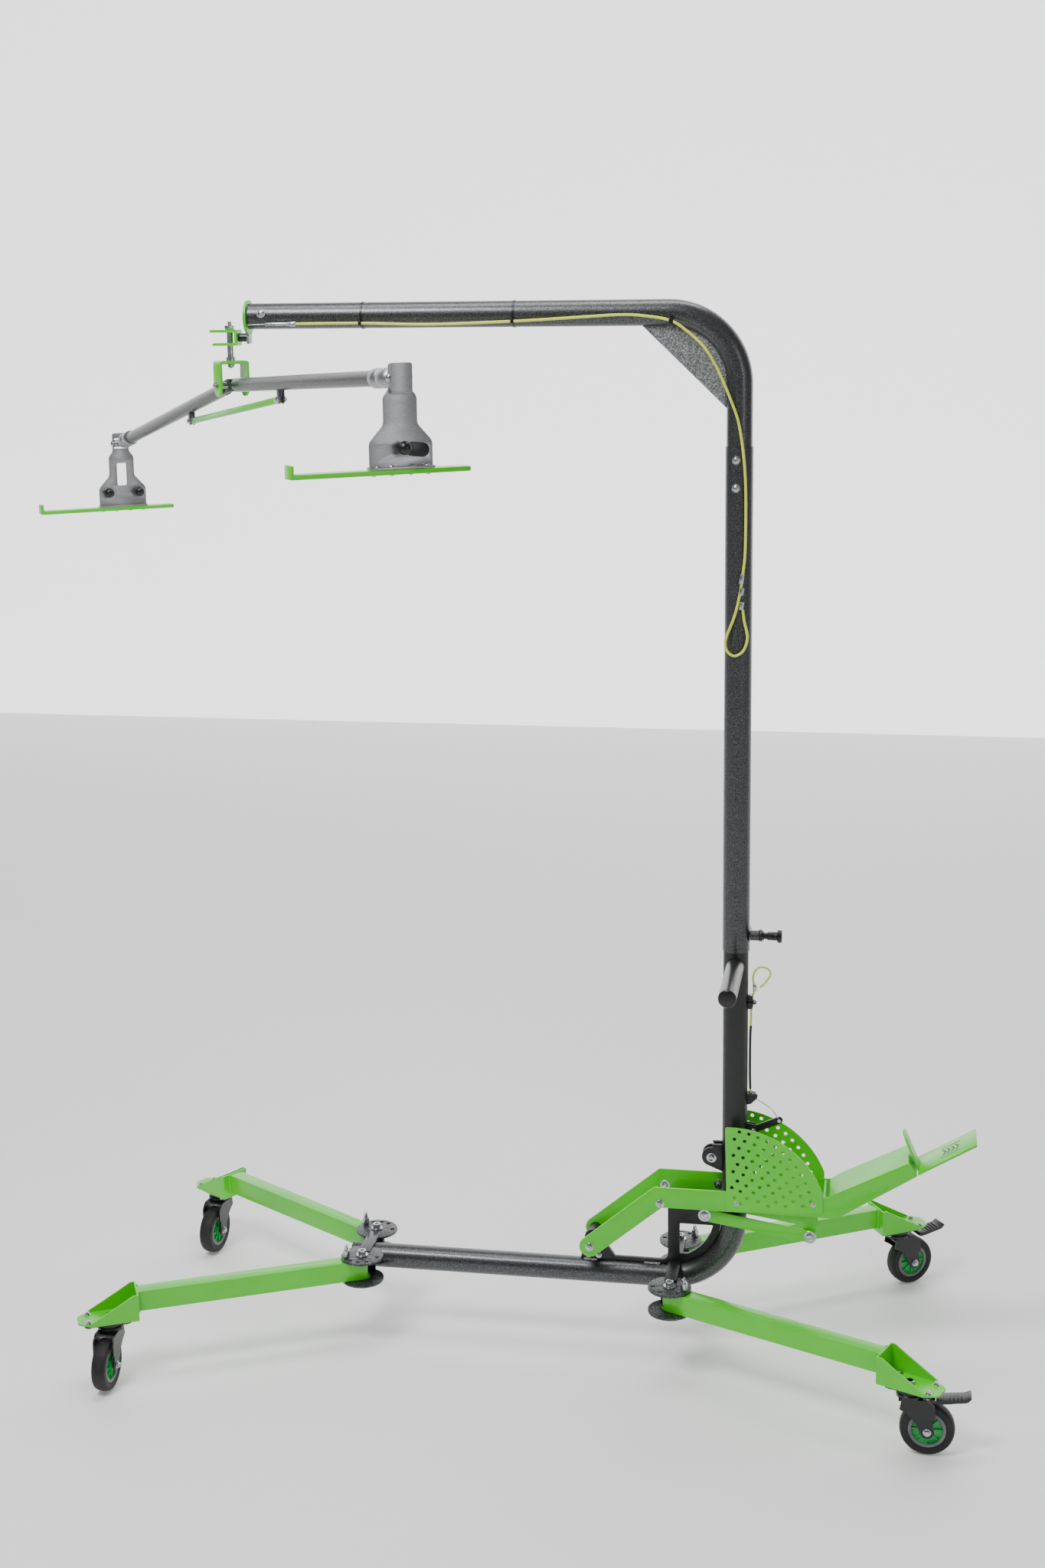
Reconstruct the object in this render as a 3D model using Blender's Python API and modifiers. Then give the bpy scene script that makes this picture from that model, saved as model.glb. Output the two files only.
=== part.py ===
"""A sit to stand lift: folding wheeled base, telescopic mast and boom, foot lever and spreader.

Lengths are metres and +Z is up. +X runs from the boom's end towards the foot pedal, and -Y is
the near side. The drawing's origin is on the mast's axis at floor level; the last step moves
the whole lift so that its bounding box stands centred on the world's origin.
"""
import math

import bmesh
import bpy
from mathutils import Matrix, Vector

# --- driving dimensions -----------------------------------------------------------------
GAP = 0.0003                  # between pieces that touch
RUN = 0.0004                  # radial clearance of a pin in its hole

TUBE_R = 0.024                # main tube, outer radius
TUBE_WALL = 0.003
BEND_R = 0.130                # centreline radius of both tube bends
BEND_STEPS = 8                # facets of a bend, shared by what follows its inner side
TUBE_SIDES = 20               # facets round the main tubes, shared by what slides on them
BASE_Z = 0.1616               # base tube axis
BASE_REACH = 0.773            # mast axis to the front end of the base
MAST_FOOT_Z = 0.300
MAST_TOP_Z = 1.350
BOOM_Z = 2.039                # boom axis
BOOM_REACH = 0.9245           # mast axis to the outer face of the boom flange
BOOM_LEG_Z = 1.680            # lower end of the boom's leg inside the sleeve
SLEEVE_WALL = 0.0014
SLEEVE_LOW_Z = 0.8386
SLEEVE_TOP_Z = 1.7965
FLANGE_T = 0.0045
FLANGE_R = 0.032

PLATE_T = 0.004               # index plates, lever arms
PIVOT_BOLT_R = 0.006
INDEX_R = 0.042               # index plate radius
INDEX_PITCH_R = 0.032         # index hole circle
INDEX_PIN_R = 0.004
INDEX_TOP_Z = BASE_Z + TUBE_R + 0.0023    # upper face of the upper index plate
INDEX_LOW_Z = BASE_Z - TUBE_R - 0.0006    # lower face of the lower index plate
INDEX_STEP = 31.0             # degrees between spread positions
STOW_SWING = 145.0            # degrees from the rest position to the folded one
STRAP_HALF = 0.012            # half width of the straps over and under the base tube
FRONT_X = -0.7376
FRONT_Y = 0.0617
REAR_X = -0.1159
REAR_Y = 0.1045

LEG_H = 0.040
LEG_W = 0.030
LEG_WALL = 0.0025
LEG_LENGTH = 0.447            # pivot to the back wall of the caster bracket
LEG_Z = 0.1625
BRACKET_L = 0.116
BRACKET_W = 0.064
BRACKET_Z = 0.1305
BRACKET_T = 0.003
SWIVEL_REACH = 0.500
TRAIL = 0.032
WHEEL_R = 0.050
TYRE_W = 0.028
HUB_R = 0.0347
AXLE_R = 0.006
FORK_TOP_Z = 0.1265
BRAKE_PIVOT = (0.050, 0.1065)  # in the fork's own x, z

HANDLE_Z = 0.811
HANDLE_R = 0.017
HANDLE_REACH = 0.213

LEVER_Y = 0.045               # mid plane of each lever arm
LEVER_H = 0.041
LEVER_PIVOT = (-0.280, 0.231)
LEVER_BEND = (-0.1449, 0.3435)
LEVER_KNEE_X = 0.200
GUARD_T = 0.002
LINK_Y = 0.035
LINK_PIVOT = (-0.055, 0.308)
LINK_END = (0.149, 0.277)
STRUT_PIVOT = (0.150, 0.343)
PEDAL_ROOT = (0.3530, 0.4205)
PEDAL_TOE = (0.458, 0.4835)
SHAFT_R = 0.006
RELEASE_PIVOT = (TUBE_R + 0.012, 0.476)
RELEASE_END = (TUBE_R + 0.062, 0.498)
CABLE_X = TUBE_R + 0.006      # axis of the lower cable beside the mast

SPREADER_X = -BOOM_REACH - 0.0355         # axis of the spreader's swivel pin
SPREADER_Z = 1.911
SPREADER_HEADING = -54.0      # degrees, near arm seen from above
NEAR_PITCH = 3.0
FAR_PITCH = -11.2
ARM_R = 0.013
ARM_LENGTH = 0.8215
LUG_REACH = 0.272
LUG_DROP = 0.029
HANGER_DROP = 0.141
HANGER_W = 0.106
HANGER_T = 0.005
BAR_LENGTH = 0.302
BAR_SHIFT = 0.037             # bar's middle from its hanger, towards the hooked end
BAR_T = 0.008
CABLE_R = 0.0025

LEGS = {                      # station x, side y, rest heading, sign of the stowing swing
    "front_near": (FRONT_X, -FRONT_Y, 206.0, 1),
    "front_far": (FRONT_X, FRONT_Y, 148.0, -1),
    "rear_near": (REAR_X, -REAR_Y, -23.6, -1),
    "rear_far": (REAR_X, REAR_Y, 30.0, 1),
}
CASTER_HEADINGS = {"front_near": -90.0, "front_far": -99.0, "rear_near": -1.0, "rear_far": 34.0}

SIDE = Matrix.Rotation(math.radians(90), 4, "X")           # drawing x, y to world X, Z
FACE = Matrix(((0, 0, 1, 0), (1, 0, 0, 0), (0, 1, 0, 0), (0, 0, 0, 1)))   # drawing to Y, Z


# --- scene ------------------------------------------------------------------------------
for old in list(bpy.data.objects):
    bpy.data.objects.remove(old, do_unlink=True)

PARTS = bpy.data.collections.new("sit_to_stand_lift")
CUTTERS = bpy.data.collections.new("cutters")
bpy.context.scene.collection.children.link(PARTS)
bpy.context.scene.collection.children.link(CUTTERS)
ROOT = bpy.data.objects.new("lift_root", None)
PARTS.objects.link(ROOT)


def material(name, colour, roughness, metallic):
    made = bpy.data.materials.new(name)
    made.use_nodes = True
    shader = made.node_tree.nodes["Principled BSDF"]
    shader.inputs["Base Color"].default_value = (*colour, 1.0)
    shader.inputs["Roughness"].default_value = roughness
    shader.inputs["Metallic"].default_value = metallic
    return made


GREEN = material("lime_powder_coat", (0.145, 0.65, 0.028), 0.38, 0.0)
HAMMERED = material("hammered_silver", (0.16, 0.165, 0.175), 0.38, 0.8)
BLACK = material("black_powder_coat", (0.018, 0.018, 0.02), 0.5, 0.0)
GREY = material("dark_plate", (0.07, 0.075, 0.08), 0.45, 0.6)
ZINC = material("zinc", (0.62, 0.63, 0.65), 0.28, 1.0)
ALUMINIUM = material("aluminium", (0.55, 0.56, 0.58), 0.35, 1.0)
RUBBER = material("tyre", (0.02, 0.02, 0.021), 0.7, 0.0)
PLASTIC = material("black_plastic", (0.015, 0.015, 0.016), 0.35, 0.0)
YELLOW = material("yellow_sheath", (0.72, 0.86, 0.06), 0.45, 0.0)


# --- outlines ---------------------------------------------------------------------------
def arc(centre, radius, start, end, steps):
    """Points of an arc, angles in degrees, both ends included."""
    points = []
    for step in range(steps + 1):
        angle = math.radians(start + (end - start) * step / steps)
        points.append((centre[0] + radius * math.cos(angle), centre[1] + radius * math.sin(angle)))
    return points


def circle(centre, radius, steps=12):
    return arc(centre, radius, 0.0, 360.0, steps)[:-1]


def strip(start, end, half_width, steps=6):
    """A straight strip with round ends."""
    heading = math.degrees(math.atan2(end[1] - start[1], end[0] - start[0]))
    tail = arc(start, half_width, heading + 90, heading + 270, steps)
    nose = arc(end, half_width, heading - 90, heading + 90, steps)
    return tail + nose


def bulge(start, end, radius, steps):
    """An arc of the given radius from start to end, bulging to the right of the way there."""
    first, last = Vector(start), Vector(end)
    chord = last - first
    rise = math.sqrt(radius ** 2 - (chord.length / 2) ** 2)
    inward = Vector((-chord.y, chord.x)).normalized()
    centre = (first + last) / 2 + inward * rise
    begin = math.degrees(math.atan2(first.y - centre.y, first.x - centre.x))
    finish = math.degrees(math.atan2(last.y - centre.y, last.x - centre.x))
    return arc(centre, radius, begin, finish, steps)


# --- solids -----------------------------------------------------------------------------
def add(mesh):
    piece = bpy.data.objects.new("piece", mesh)
    PARTS.objects.link(piece)
    return piece


def from_bmesh(bm):
    mesh = bpy.data.meshes.new("piece")
    bm.to_mesh(mesh)
    bm.free()
    return add(mesh)


def bake(piece, frame=Matrix()):
    """The piece's evaluated shape as a plain welded mesh, moved by the frame."""
    bpy.context.view_layer.update()
    graph = bpy.context.evaluated_depsgraph_get()
    mesh = bpy.data.meshes.new_from_object(piece.evaluated_get(graph))
    bm = bmesh.new()
    bm.from_mesh(mesh)
    bmesh.ops.remove_doubles(bm, verts=bm.verts, dist=0.000002)
    bmesh.ops.recalc_face_normals(bm, faces=bm.faces)
    bm.transform(frame)
    bm.to_mesh(mesh)
    bm.free()
    bpy.data.objects.remove(piece, do_unlink=True)
    return add(mesh)


def block(low, high):
    """A box between two corners."""
    low, high = Vector(low), Vector(high)
    bm = bmesh.new()
    bmesh.ops.create_cube(bm, size=1.0)
    bmesh.ops.scale(bm, vec=high - low, verts=bm.verts)
    bmesh.ops.translate(bm, vec=(low + high) / 2, verts=bm.verts)
    return from_bmesh(bm)


def rod(start, end, radius, sides=12):
    """A round bar between two points."""
    start, end = Vector(start), Vector(end)
    turn = (end - start).to_track_quat("Z", "Y").to_matrix().to_4x4()
    place = Matrix.Translation((start + end) / 2) @ turn
    bm = bmesh.new()
    bmesh.ops.create_cone(bm, cap_ends=True, segments=sides, radius1=radius, radius2=radius,
                          depth=(end - start).length, matrix=place)
    return from_bmesh(bm)


def ball(centre, radius):
    bm = bmesh.new()
    bmesh.ops.create_uvsphere(bm, u_segments=10, v_segments=6, radius=radius,
                              matrix=Matrix.Translation(centre))
    return from_bmesh(bm)


def plate(outline, thickness, frame=Matrix(), holes=()):
    """A flat plate, centred on the frame's own x, y plane."""
    curve = bpy.data.curves.new("outline", "CURVE")
    curve.dimensions = "2D"
    curve.fill_mode = "BOTH"
    curve.extrude = thickness / 2
    for ring in (outline, *holes):
        spline = curve.splines.new("POLY")
        spline.points.add(len(ring) - 1)
        for point, place in zip(spline.points, ring):
            point.co = (place[0], place[1], 0.0, 1.0)
        spline.use_cyclic_u = True
    return bake(add(curve), frame)


def bar(path, radius, sides=TUBE_SIDES):
    """A round bar along the path, with closed ends."""
    curve = bpy.data.curves.new("path", "CURVE")
    curve.dimensions = "3D"
    curve.bevel_depth = radius
    curve.bevel_resolution = sides // 2 - 2
    curve.use_fill_caps = True
    spline = curve.splines.new("POLY")
    spline.points.add(len(path) - 1)
    for point, place in zip(spline.points, path):
        point.co = (*place, 1.0)
    return bake(add(curve))


def turned(profile, steps=32):
    """A closed (radius, height) profile turned about Z, drawn down its outer side."""
    mesh = bpy.data.meshes.new("profile")
    points = [(radius, 0.0, height) for radius, height in profile]
    edges = [(index, (index + 1) % len(points)) for index in range(len(points))]
    mesh.from_pydata(points, edges, [])
    piece = add(mesh)
    screw = piece.modifiers.new("turn", "SCREW")
    screw.steps = steps
    screw.render_steps = steps
    screw.use_merge_vertices = True
    screw.merge_threshold = 0.00001
    return bake(piece)


def built(base, joined=(), cut=()):
    """The base with some pieces welded on and some shapes cut away."""
    for operation, tools in (("UNION", joined), ("DIFFERENCE", cut)):
        for tool in tools:
            PARTS.objects.unlink(tool)
            CUTTERS.objects.link(tool)
            tool.hide_render = True
            tool.display_type = "WIRE"
            step = base.modifiers.new(operation.lower(), "BOOLEAN")
            step.operation = operation
            step.solver = "EXACT"
            step.object = tool
    made = bake(base)
    for tool in (*joined, *cut):
        bpy.data.objects.remove(tool, do_unlink=True)
    return made


def tube(path, radius, wall, sides=TUBE_SIDES):
    """A hollow tube along the path, open at both ends."""
    first, last = Vector(path[0]), Vector(path[-1])
    before = first + (first - Vector(path[1])).normalized() * 0.002
    after = last + (last - Vector(path[-2])).normalized() * 0.002
    inside = [before, *path[1:-1], after]
    return built(bar(path, radius, sides), cut=[bar(inside, radius - wall, sides)])


def bent(start, corner, end, radius, steps=BEND_STEPS):
    """A path from start to end with a round bend in place of the right-angled corner."""
    corner = Vector(corner)
    back = (Vector(start) - corner).normalized()
    ahead = (Vector(end) - corner).normalized()
    centre = corner + (back + ahead) * radius
    path = [Vector(start)]
    for step in range(steps + 1):
        angle = math.radians(90 * step / steps)
        path.append(centre - (ahead * math.cos(angle) + back * math.sin(angle)) * radius)
    path.append(Vector(end))
    return path


def smooth_path(points, per_span):
    """A smooth curve through the points, for a cable."""
    path = []
    count = len(points)
    for index in range(count - 1):
        p0 = Vector(points[max(index - 1, 0)])
        p1 = Vector(points[index])
        p2 = Vector(points[index + 1])
        p3 = Vector(points[min(index + 2, count - 1)])
        for step in range(per_span):
            t = step / per_span
            path.append(0.5 * (2 * p1 + (p2 - p0) * t + (2 * p0 - 5 * p1 + 4 * p2 - p3) * t ** 2
                               + (3 * p1 - p0 - 3 * p2 + p3) * t ** 3))
    path.append(Vector(points[-1]))
    return path


def settle(piece, name, finish, pivot=(0.0, 0.0, 0.0)):
    """Name a piece, give it its material and put its origin on the pivot."""
    piece.data.transform(Matrix.Translation(-Vector(pivot)))
    place_copy(piece, piece.data, name, finish, pivot, 0.0)


def place_copy(piece, mesh, name, finish, location, heading):
    if piece is None:
        piece = add(mesh)
    if finish.name not in mesh.materials:
        mesh.materials.clear()
        mesh.materials.append(finish)
    mesh.shade_smooth()
    mesh.set_sharp_from_angle(angle=math.radians(35))
    piece.name = name
    piece.location = location
    piece.rotation_euler = (0.0, 0.0, math.radians(heading))
    piece.parent = ROOT


def prototype(piece):
    """Keep only the mesh of a repeated piece."""
    mesh = piece.data
    bpy.data.objects.remove(piece, do_unlink=True)
    return mesh


def side_frame(y):
    return Matrix.Translation((0.0, y, 0.0)) @ SIDE


# --- base -------------------------------------------------------------------------------
def make_base_tube():
    path = bent((-BASE_REACH + 0.003, 0, BASE_Z), (0, 0, BASE_Z), (0, 0, MAST_FOOT_Z), BEND_R)
    settle(tube(path, TUBE_R, TUBE_WALL), "base_tube", HAMMERED)
    cap = rod((-BASE_REACH, 0, BASE_Z), (-BASE_REACH + 0.003 - GAP, 0, BASE_Z), TUBE_R, 24)
    spigot_r = TUBE_R - TUBE_WALL - 2 * GAP
    spigot = rod((-BASE_REACH + 0.001, 0, BASE_Z), (-BASE_REACH + 0.014, 0, BASE_Z), spigot_r, 24)
    settle(built(cap, [spigot]), "base_end_cap", PLASTIC)


def strap_low_z(x):
    """Lower face of a strap that crosses over the base tube at x, clear of the bend's facets."""
    into_bend = max(x + STRAP_HALF + BEND_R, 0.0)
    inner_r = (BEND_R - TUBE_R) * math.cos(math.radians(45 / BEND_STEPS))
    rise = 0.0 if into_bend == 0 else BEND_R - TUBE_R - math.sqrt(inner_r ** 2 - into_bend ** 2)
    return BASE_Z + TUBE_R + rise + GAP


def make_base_gusset():
    floor_z = BASE_Z + TUBE_R + GAP
    centre = (-BEND_R, BASE_Z + BEND_R)
    inner_r = BEND_R - TUBE_R - GAP
    lug = arc(LEVER_PIVOT, 0.016, 35, 180, 8)
    outline = [(-0.304, floor_z)]
    outline += arc(centre, inner_r, -90, 0, BEND_STEPS)
    outline += [(centre[0] + inner_r, 0.330), (-0.130, 0.330), (-0.130, floor_z + 0.008)]
    outline += [(-0.235, floor_z + 0.008)]
    outline += lug
    window_r = inner_r - 0.0147
    window_low = (-0.107, floor_z + 0.0236)
    window = [window_low]
    start = math.degrees(math.asin((window_low[1] - centre[1]) / window_r))
    window += arc(centre, window_r, start, math.degrees(math.asin((0.273 - centre[1]) / window_r)), 8)
    window += [(-0.107, 0.273)]
    holes = [window, circle(LEVER_PIVOT, SHAFT_R + RUN), circle(LINK_PIVOT, SHAFT_R + RUN)]
    strap_top = strap_low_z(REAR_X) + PLATE_T + GAP
    slot = block((REAR_X - STRAP_HALF - GAP, -0.010, floor_z - 0.010),
                 (REAR_X + STRAP_HALF + GAP, 0.010, strap_top))
    settle(built(plate(outline, 0.008, SIDE, holes), cut=[slot]), "base_gusset", BLACK)


def index_plate(x, y, low_z, holes):
    centre = (x, y)
    rings = [circle(centre, PIVOT_BOLT_R + RUN)]
    rings += [circle((x + INDEX_PITCH_R * math.cos(math.radians(a)),
                      y + INDEX_PITCH_R * math.sin(math.radians(a))), INDEX_PIN_R + RUN, 8)
              for a in holes]
    frame = Matrix.Translation((0, 0, low_z + PLATE_T / 2))
    return plate(circle(centre, INDEX_R, 28), PLATE_T, frame, rings)


def make_pivot_yoke(name, x, y, sides, finish):
    """Upper and lower index plates on both sides, joined over and under the base tube."""
    top_z = INDEX_TOP_Z - PLATE_T
    tube_top = strap_low_z(x)
    tube_low = BASE_Z - TUBE_R - GAP
    joined = []
    web_y = y - 0.028
    for leg in sides:
        _, leg_y, rest, sign = LEGS[leg]
        spread = [rest + sign * INDEX_STEP * step for step in range(4)]
        stow = rest + sign * STOW_SWING
        joined.append(index_plate(x, leg_y, top_z, [*spread, stow]))
        joined.append(index_plate(x, leg_y, INDEX_LOW_Z, []))
        inner = math.copysign(web_y, leg_y)
        low, high = sorted((inner - 0.002, inner + 0.002))
        joined.append(block((x - 0.020, low, INDEX_LOW_Z + 0.001), (x + 0.020, high, tube_top + 0.001)))
    reach = web_y + 0.012
    strap = block((x - STRAP_HALF, -reach, tube_top), (x + STRAP_HALF, reach, tube_top + PLATE_T))
    joined.append(block((x - STRAP_HALF, -reach, tube_low - PLATE_T), (x + STRAP_HALF, reach, tube_low)))
    settle(built(strap, joined), name, finish)


def make_pivot_hardware():
    """Leg pivot bolts and index pull pins, one mesh of each for all four legs."""
    low_z, top_z = INDEX_LOW_Z, INDEX_TOP_Z
    bolt = rod((0, 0, low_z - 0.012), (0, 0, top_z + 0.010), PIVOT_BOLT_R, 12)
    washer = rod((0, 0, top_z + GAP), (0, 0, top_z + 0.0025), 0.012)
    head = rod((0, 0, top_z + 0.002), (0, 0, top_z + 0.012), 0.0078, 12)
    nut = rod((0, 0, low_z - 0.010), (0, 0, low_z - GAP), 0.010, 6)
    bolt_mesh = prototype(built(bolt, [washer, head, nut]))
    leg_top = LEG_Z + LEG_H / 2
    pin = rod((0, 0, leg_top + 2 * GAP), (0, 0, top_z + 0.024), INDEX_PIN_R, 12)
    pin_mesh = prototype(built(pin, [rod((0, 0, top_z + 0.014), (0, 0, top_z + 0.020), 0.0068, 12)]))
    for leg, (x, y, rest, _) in LEGS.items():
        place_copy(None, bolt_mesh, "pivot_bolt_" + leg, ZINC, (x, y, 0), rest)
        pin_x = x + INDEX_PITCH_R * math.cos(math.radians(rest))
        pin_y = y + INDEX_PITCH_R * math.sin(math.radians(rest))
        place_copy(None, pin_mesh, "index_pin_" + leg, ZINC, (pin_x, pin_y, 0), rest)


def make_legs():
    """A rectangular tube, open at the pivot, with a caster bracket welded to its end."""
    half = LEG_W / 2
    outline = arc((0, 0), half, 90, 270, 8) + [(LEG_LENGTH + 0.0005, -half), (LEG_LENGTH + 0.0005, half)]
    body = plate(outline, LEG_H, Matrix.Translation((0, 0, LEG_Z)))
    inner_w = half - LEG_WALL
    inner_h = LEG_H / 2 - LEG_WALL
    hollow = block((-0.030, -inner_w, LEG_Z - inner_h), (LEG_LENGTH - 0.003, inner_w, LEG_Z + inner_h))
    pivot = rod((0, 0, LEG_Z - 0.030), (0, 0, LEG_Z + 0.030), PIVOT_BOLT_R + RUN, 12)
    wide = BRACKET_W / 2
    nose = LEG_LENGTH + BRACKET_L
    floor = plate([(LEG_LENGTH, -wide), (nose - 0.024, -wide), (nose, -wide + 0.016),
                   (nose, wide - 0.016), (nose - 0.024, wide), (LEG_LENGTH, wide)],
                  BRACKET_T, Matrix.Translation((0, 0, BRACKET_Z + BRACKET_T / 2)))
    wall_top = LEG_Z + LEG_H / 2 + 0.001
    back = block((LEG_LENGTH, -wide, BRACKET_Z + 0.001), (LEG_LENGTH + BRACKET_T, wide, wall_top))
    cheek = [(LEG_LENGTH, BRACKET_Z), (nose - 0.024, BRACKET_Z), (nose - 0.024, BRACKET_Z + 0.005),
             (LEG_LENGTH + 0.012, wall_top - 0.001), (LEG_LENGTH, wall_top - 0.001)]
    cheeks = [plate(cheek, BRACKET_T, side_frame(sign * (wide - BRACKET_T / 2))) for sign in (-1, 1)]
    kingpin = rod((SWIVEL_REACH, 0, BRACKET_Z - 0.01), (SWIVEL_REACH, 0, BRACKET_Z + 0.01),
                  AXLE_R + RUN, 12)
    mesh = prototype(built(body, [floor, back, *cheeks], [hollow, pivot, kingpin]))
    for leg, (x, y, rest, _) in LEGS.items():
        place_copy(None, mesh, "leg_" + leg, GREEN, (x, y, 0), rest)


def caster_place(leg):
    """The swivel axis of a leg's caster."""
    x, y, rest, _ = LEGS[leg]
    return (x + SWIVEL_REACH * math.cos(math.radians(rest)),
            y + SWIVEL_REACH * math.sin(math.radians(rest)))


def make_casters():
    """Forks, hubs, tyres and brake pedals; a fork's +X points from swivel to wheel."""
    cheek_y = TYRE_W / 2 + 0.0055
    crown_z = 2 * WHEEL_R + 0.007
    cheek = [(-0.020, crown_z + 0.005), (0.044, crown_z + 0.005), (0.044, WHEEL_R)]
    cheek += arc((TRAIL, WHEEL_R), 0.012, 0, -150, 6)
    cheek += [(-0.018, crown_z - 0.010)]
    crown = block((-0.020, -cheek_y, crown_z), (0.044, cheek_y, crown_z + 0.005))
    joined = [plate(cheek, 0.003, side_frame(sign * cheek_y)) for sign in (-1, 1)]
    joined.append(rod((0, 0, crown_z + 0.001), (0, 0, FORK_TOP_Z), 0.022))
    joined.append(rod((0, 0, crown_z + 0.001), (0, 0, BRACKET_Z + 0.009), AXLE_R, 12))
    axle_y = cheek_y + 0.005
    joined.append(rod((TRAIL, -axle_y, WHEEL_R), (TRAIL, axle_y, WHEEL_R), AXLE_R, 12))
    fork = prototype(built(crown, joined))

    lie = Matrix.Rotation(math.radians(90), 4, "X")
    bore = AXLE_R + RUN
    face, dish = 0.0125, 0.008
    hub = turned([(bore, face + 0.002), (0.013, face + 0.002), (0.015, dish), (0.029, dish),
                  (0.031, face), (HUB_R, face), (HUB_R, -face), (0.031, -face), (0.029, -dish),
                  (0.015, -dish), (0.013, -face - 0.002), (bore, -face - 0.002)], 16)
    hub.data.transform(lie)
    hub_mesh = prototype(hub)
    half = TYRE_W / 2
    tyre = turned([(HUB_R + 2 * GAP, half - 0.002), (WHEEL_R - 0.006, half), (WHEEL_R - 0.0015, half - 0.004),
                   (WHEEL_R, half - 0.010), (WHEEL_R, -half + 0.010), (WHEEL_R - 0.0015, -half + 0.004),
                   (WHEEL_R - 0.006, -half), (HUB_R + 2 * GAP, -half + 0.002)], 24)
    tyre.data.transform(lie)
    tyre_mesh = prototype(tyre)
    pedal = [(0.0465, crown_z - 0.003), (0.060, crown_z - 0.003), (0.103, crown_z + 0.004),
             (0.110, crown_z + 0.012), (0.107, crown_z + 0.014), (0.098, crown_z + 0.009),
             (0.0465, crown_z + 0.004)]
    brake = plate(pedal, 0.032, SIDE)
    brake.data.transform(Matrix.Translation((-BRAKE_PIVOT[0], 0, -BRAKE_PIVOT[1])))
    pedal_mesh = prototype(brake)
    for leg in LEGS:
        x, y = caster_place(leg)
        heading = CASTER_HEADINGS[leg]
        wheel_x = x + TRAIL * math.cos(math.radians(heading))
        wheel_y = y + TRAIL * math.sin(math.radians(heading))
        place_copy(None, fork, "caster_fork_" + leg, BLACK, (x, y, 0), heading)
        place_copy(None, hub_mesh, "wheel_hub_" + leg, GREEN, (wheel_x, wheel_y, WHEEL_R), heading)
        place_copy(None, tyre_mesh, "tyre_" + leg, RUBBER, (wheel_x, wheel_y, WHEEL_R), heading)
        if leg.startswith("rear"):
            brake_x = x + BRAKE_PIVOT[0] * math.cos(math.radians(heading))
            brake_y = y + BRAKE_PIVOT[0] * math.sin(math.radians(heading))
            place = (brake_x, brake_y, BRAKE_PIVOT[1])
            place_copy(None, pedal_mesh, "brake_pedal_" + leg, BLACK, place, heading)


# --- mast -------------------------------------------------------------------------------
def make_mast():
    mast = tube([(0, 0, MAST_FOOT_Z + GAP), (0, 0, MAST_TOP_Z)], TUBE_R, TUBE_WALL)
    wall_x = TUBE_R - 0.0015
    lug = [(-wall_x, 0.390), (-wall_x, 0.445), (-0.044, 0.445), *arc((-0.044, 0.419), 0.019, 90, 235, 6)]
    joined = [plate(lug, 0.024, SIDE)]
    pivot_x, pivot_z = RELEASE_PIVOT
    cheek = [(wall_x, 0.462), (pivot_x + 0.004, 0.464), (pivot_x + 0.010, pivot_z),
             (pivot_x + 0.004, 0.488), (wall_x, 0.490)]
    joined += [plate(cheek, 0.003, side_frame(sign * 0.0045)) for sign in (-1, 1)]
    pin = [(pivot_x, sign * 0.005, pivot_z) for sign in (-1, 1)]
    joined.append(rod(pin[0], pin[1], 0.003, 12))
    cut = [rod((0, -0.030, HANDLE_Z), (0, 0.030, HANDLE_Z), HANDLE_R + GAP, 16)]
    for tab_z in (0.733, 0.548):
        joined.append(block((wall_x, -0.008, tab_z), (CABLE_X + 0.010, 0.008, tab_z + 0.003)))
        cut.append(rod((CABLE_X, 0, tab_z - 0.003), (CABLE_X, 0, tab_z + 0.006), CABLE_R + 0.0007, 12))
    settle(built(mast, joined, cut), "mast_tube", BLACK)
    handle = tube([(0, -HANDLE_REACH, HANDLE_Z), (0, HANDLE_REACH, HANDLE_Z)], HANDLE_R, 0.002, 16)
    settle(handle, "push_handle", HAMMERED)
    hole = [circle(RELEASE_PIVOT, 0.003 + RUN, 12), circle(RELEASE_END, 0.0025, 10)]
    lever = plate(strip(RELEASE_PIVOT, RELEASE_END, 0.007), PLATE_T, SIDE, hole)
    settle(lever, "release_lever", ZINC, (RELEASE_PIVOT[0], 0, RELEASE_PIVOT[1]))


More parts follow.
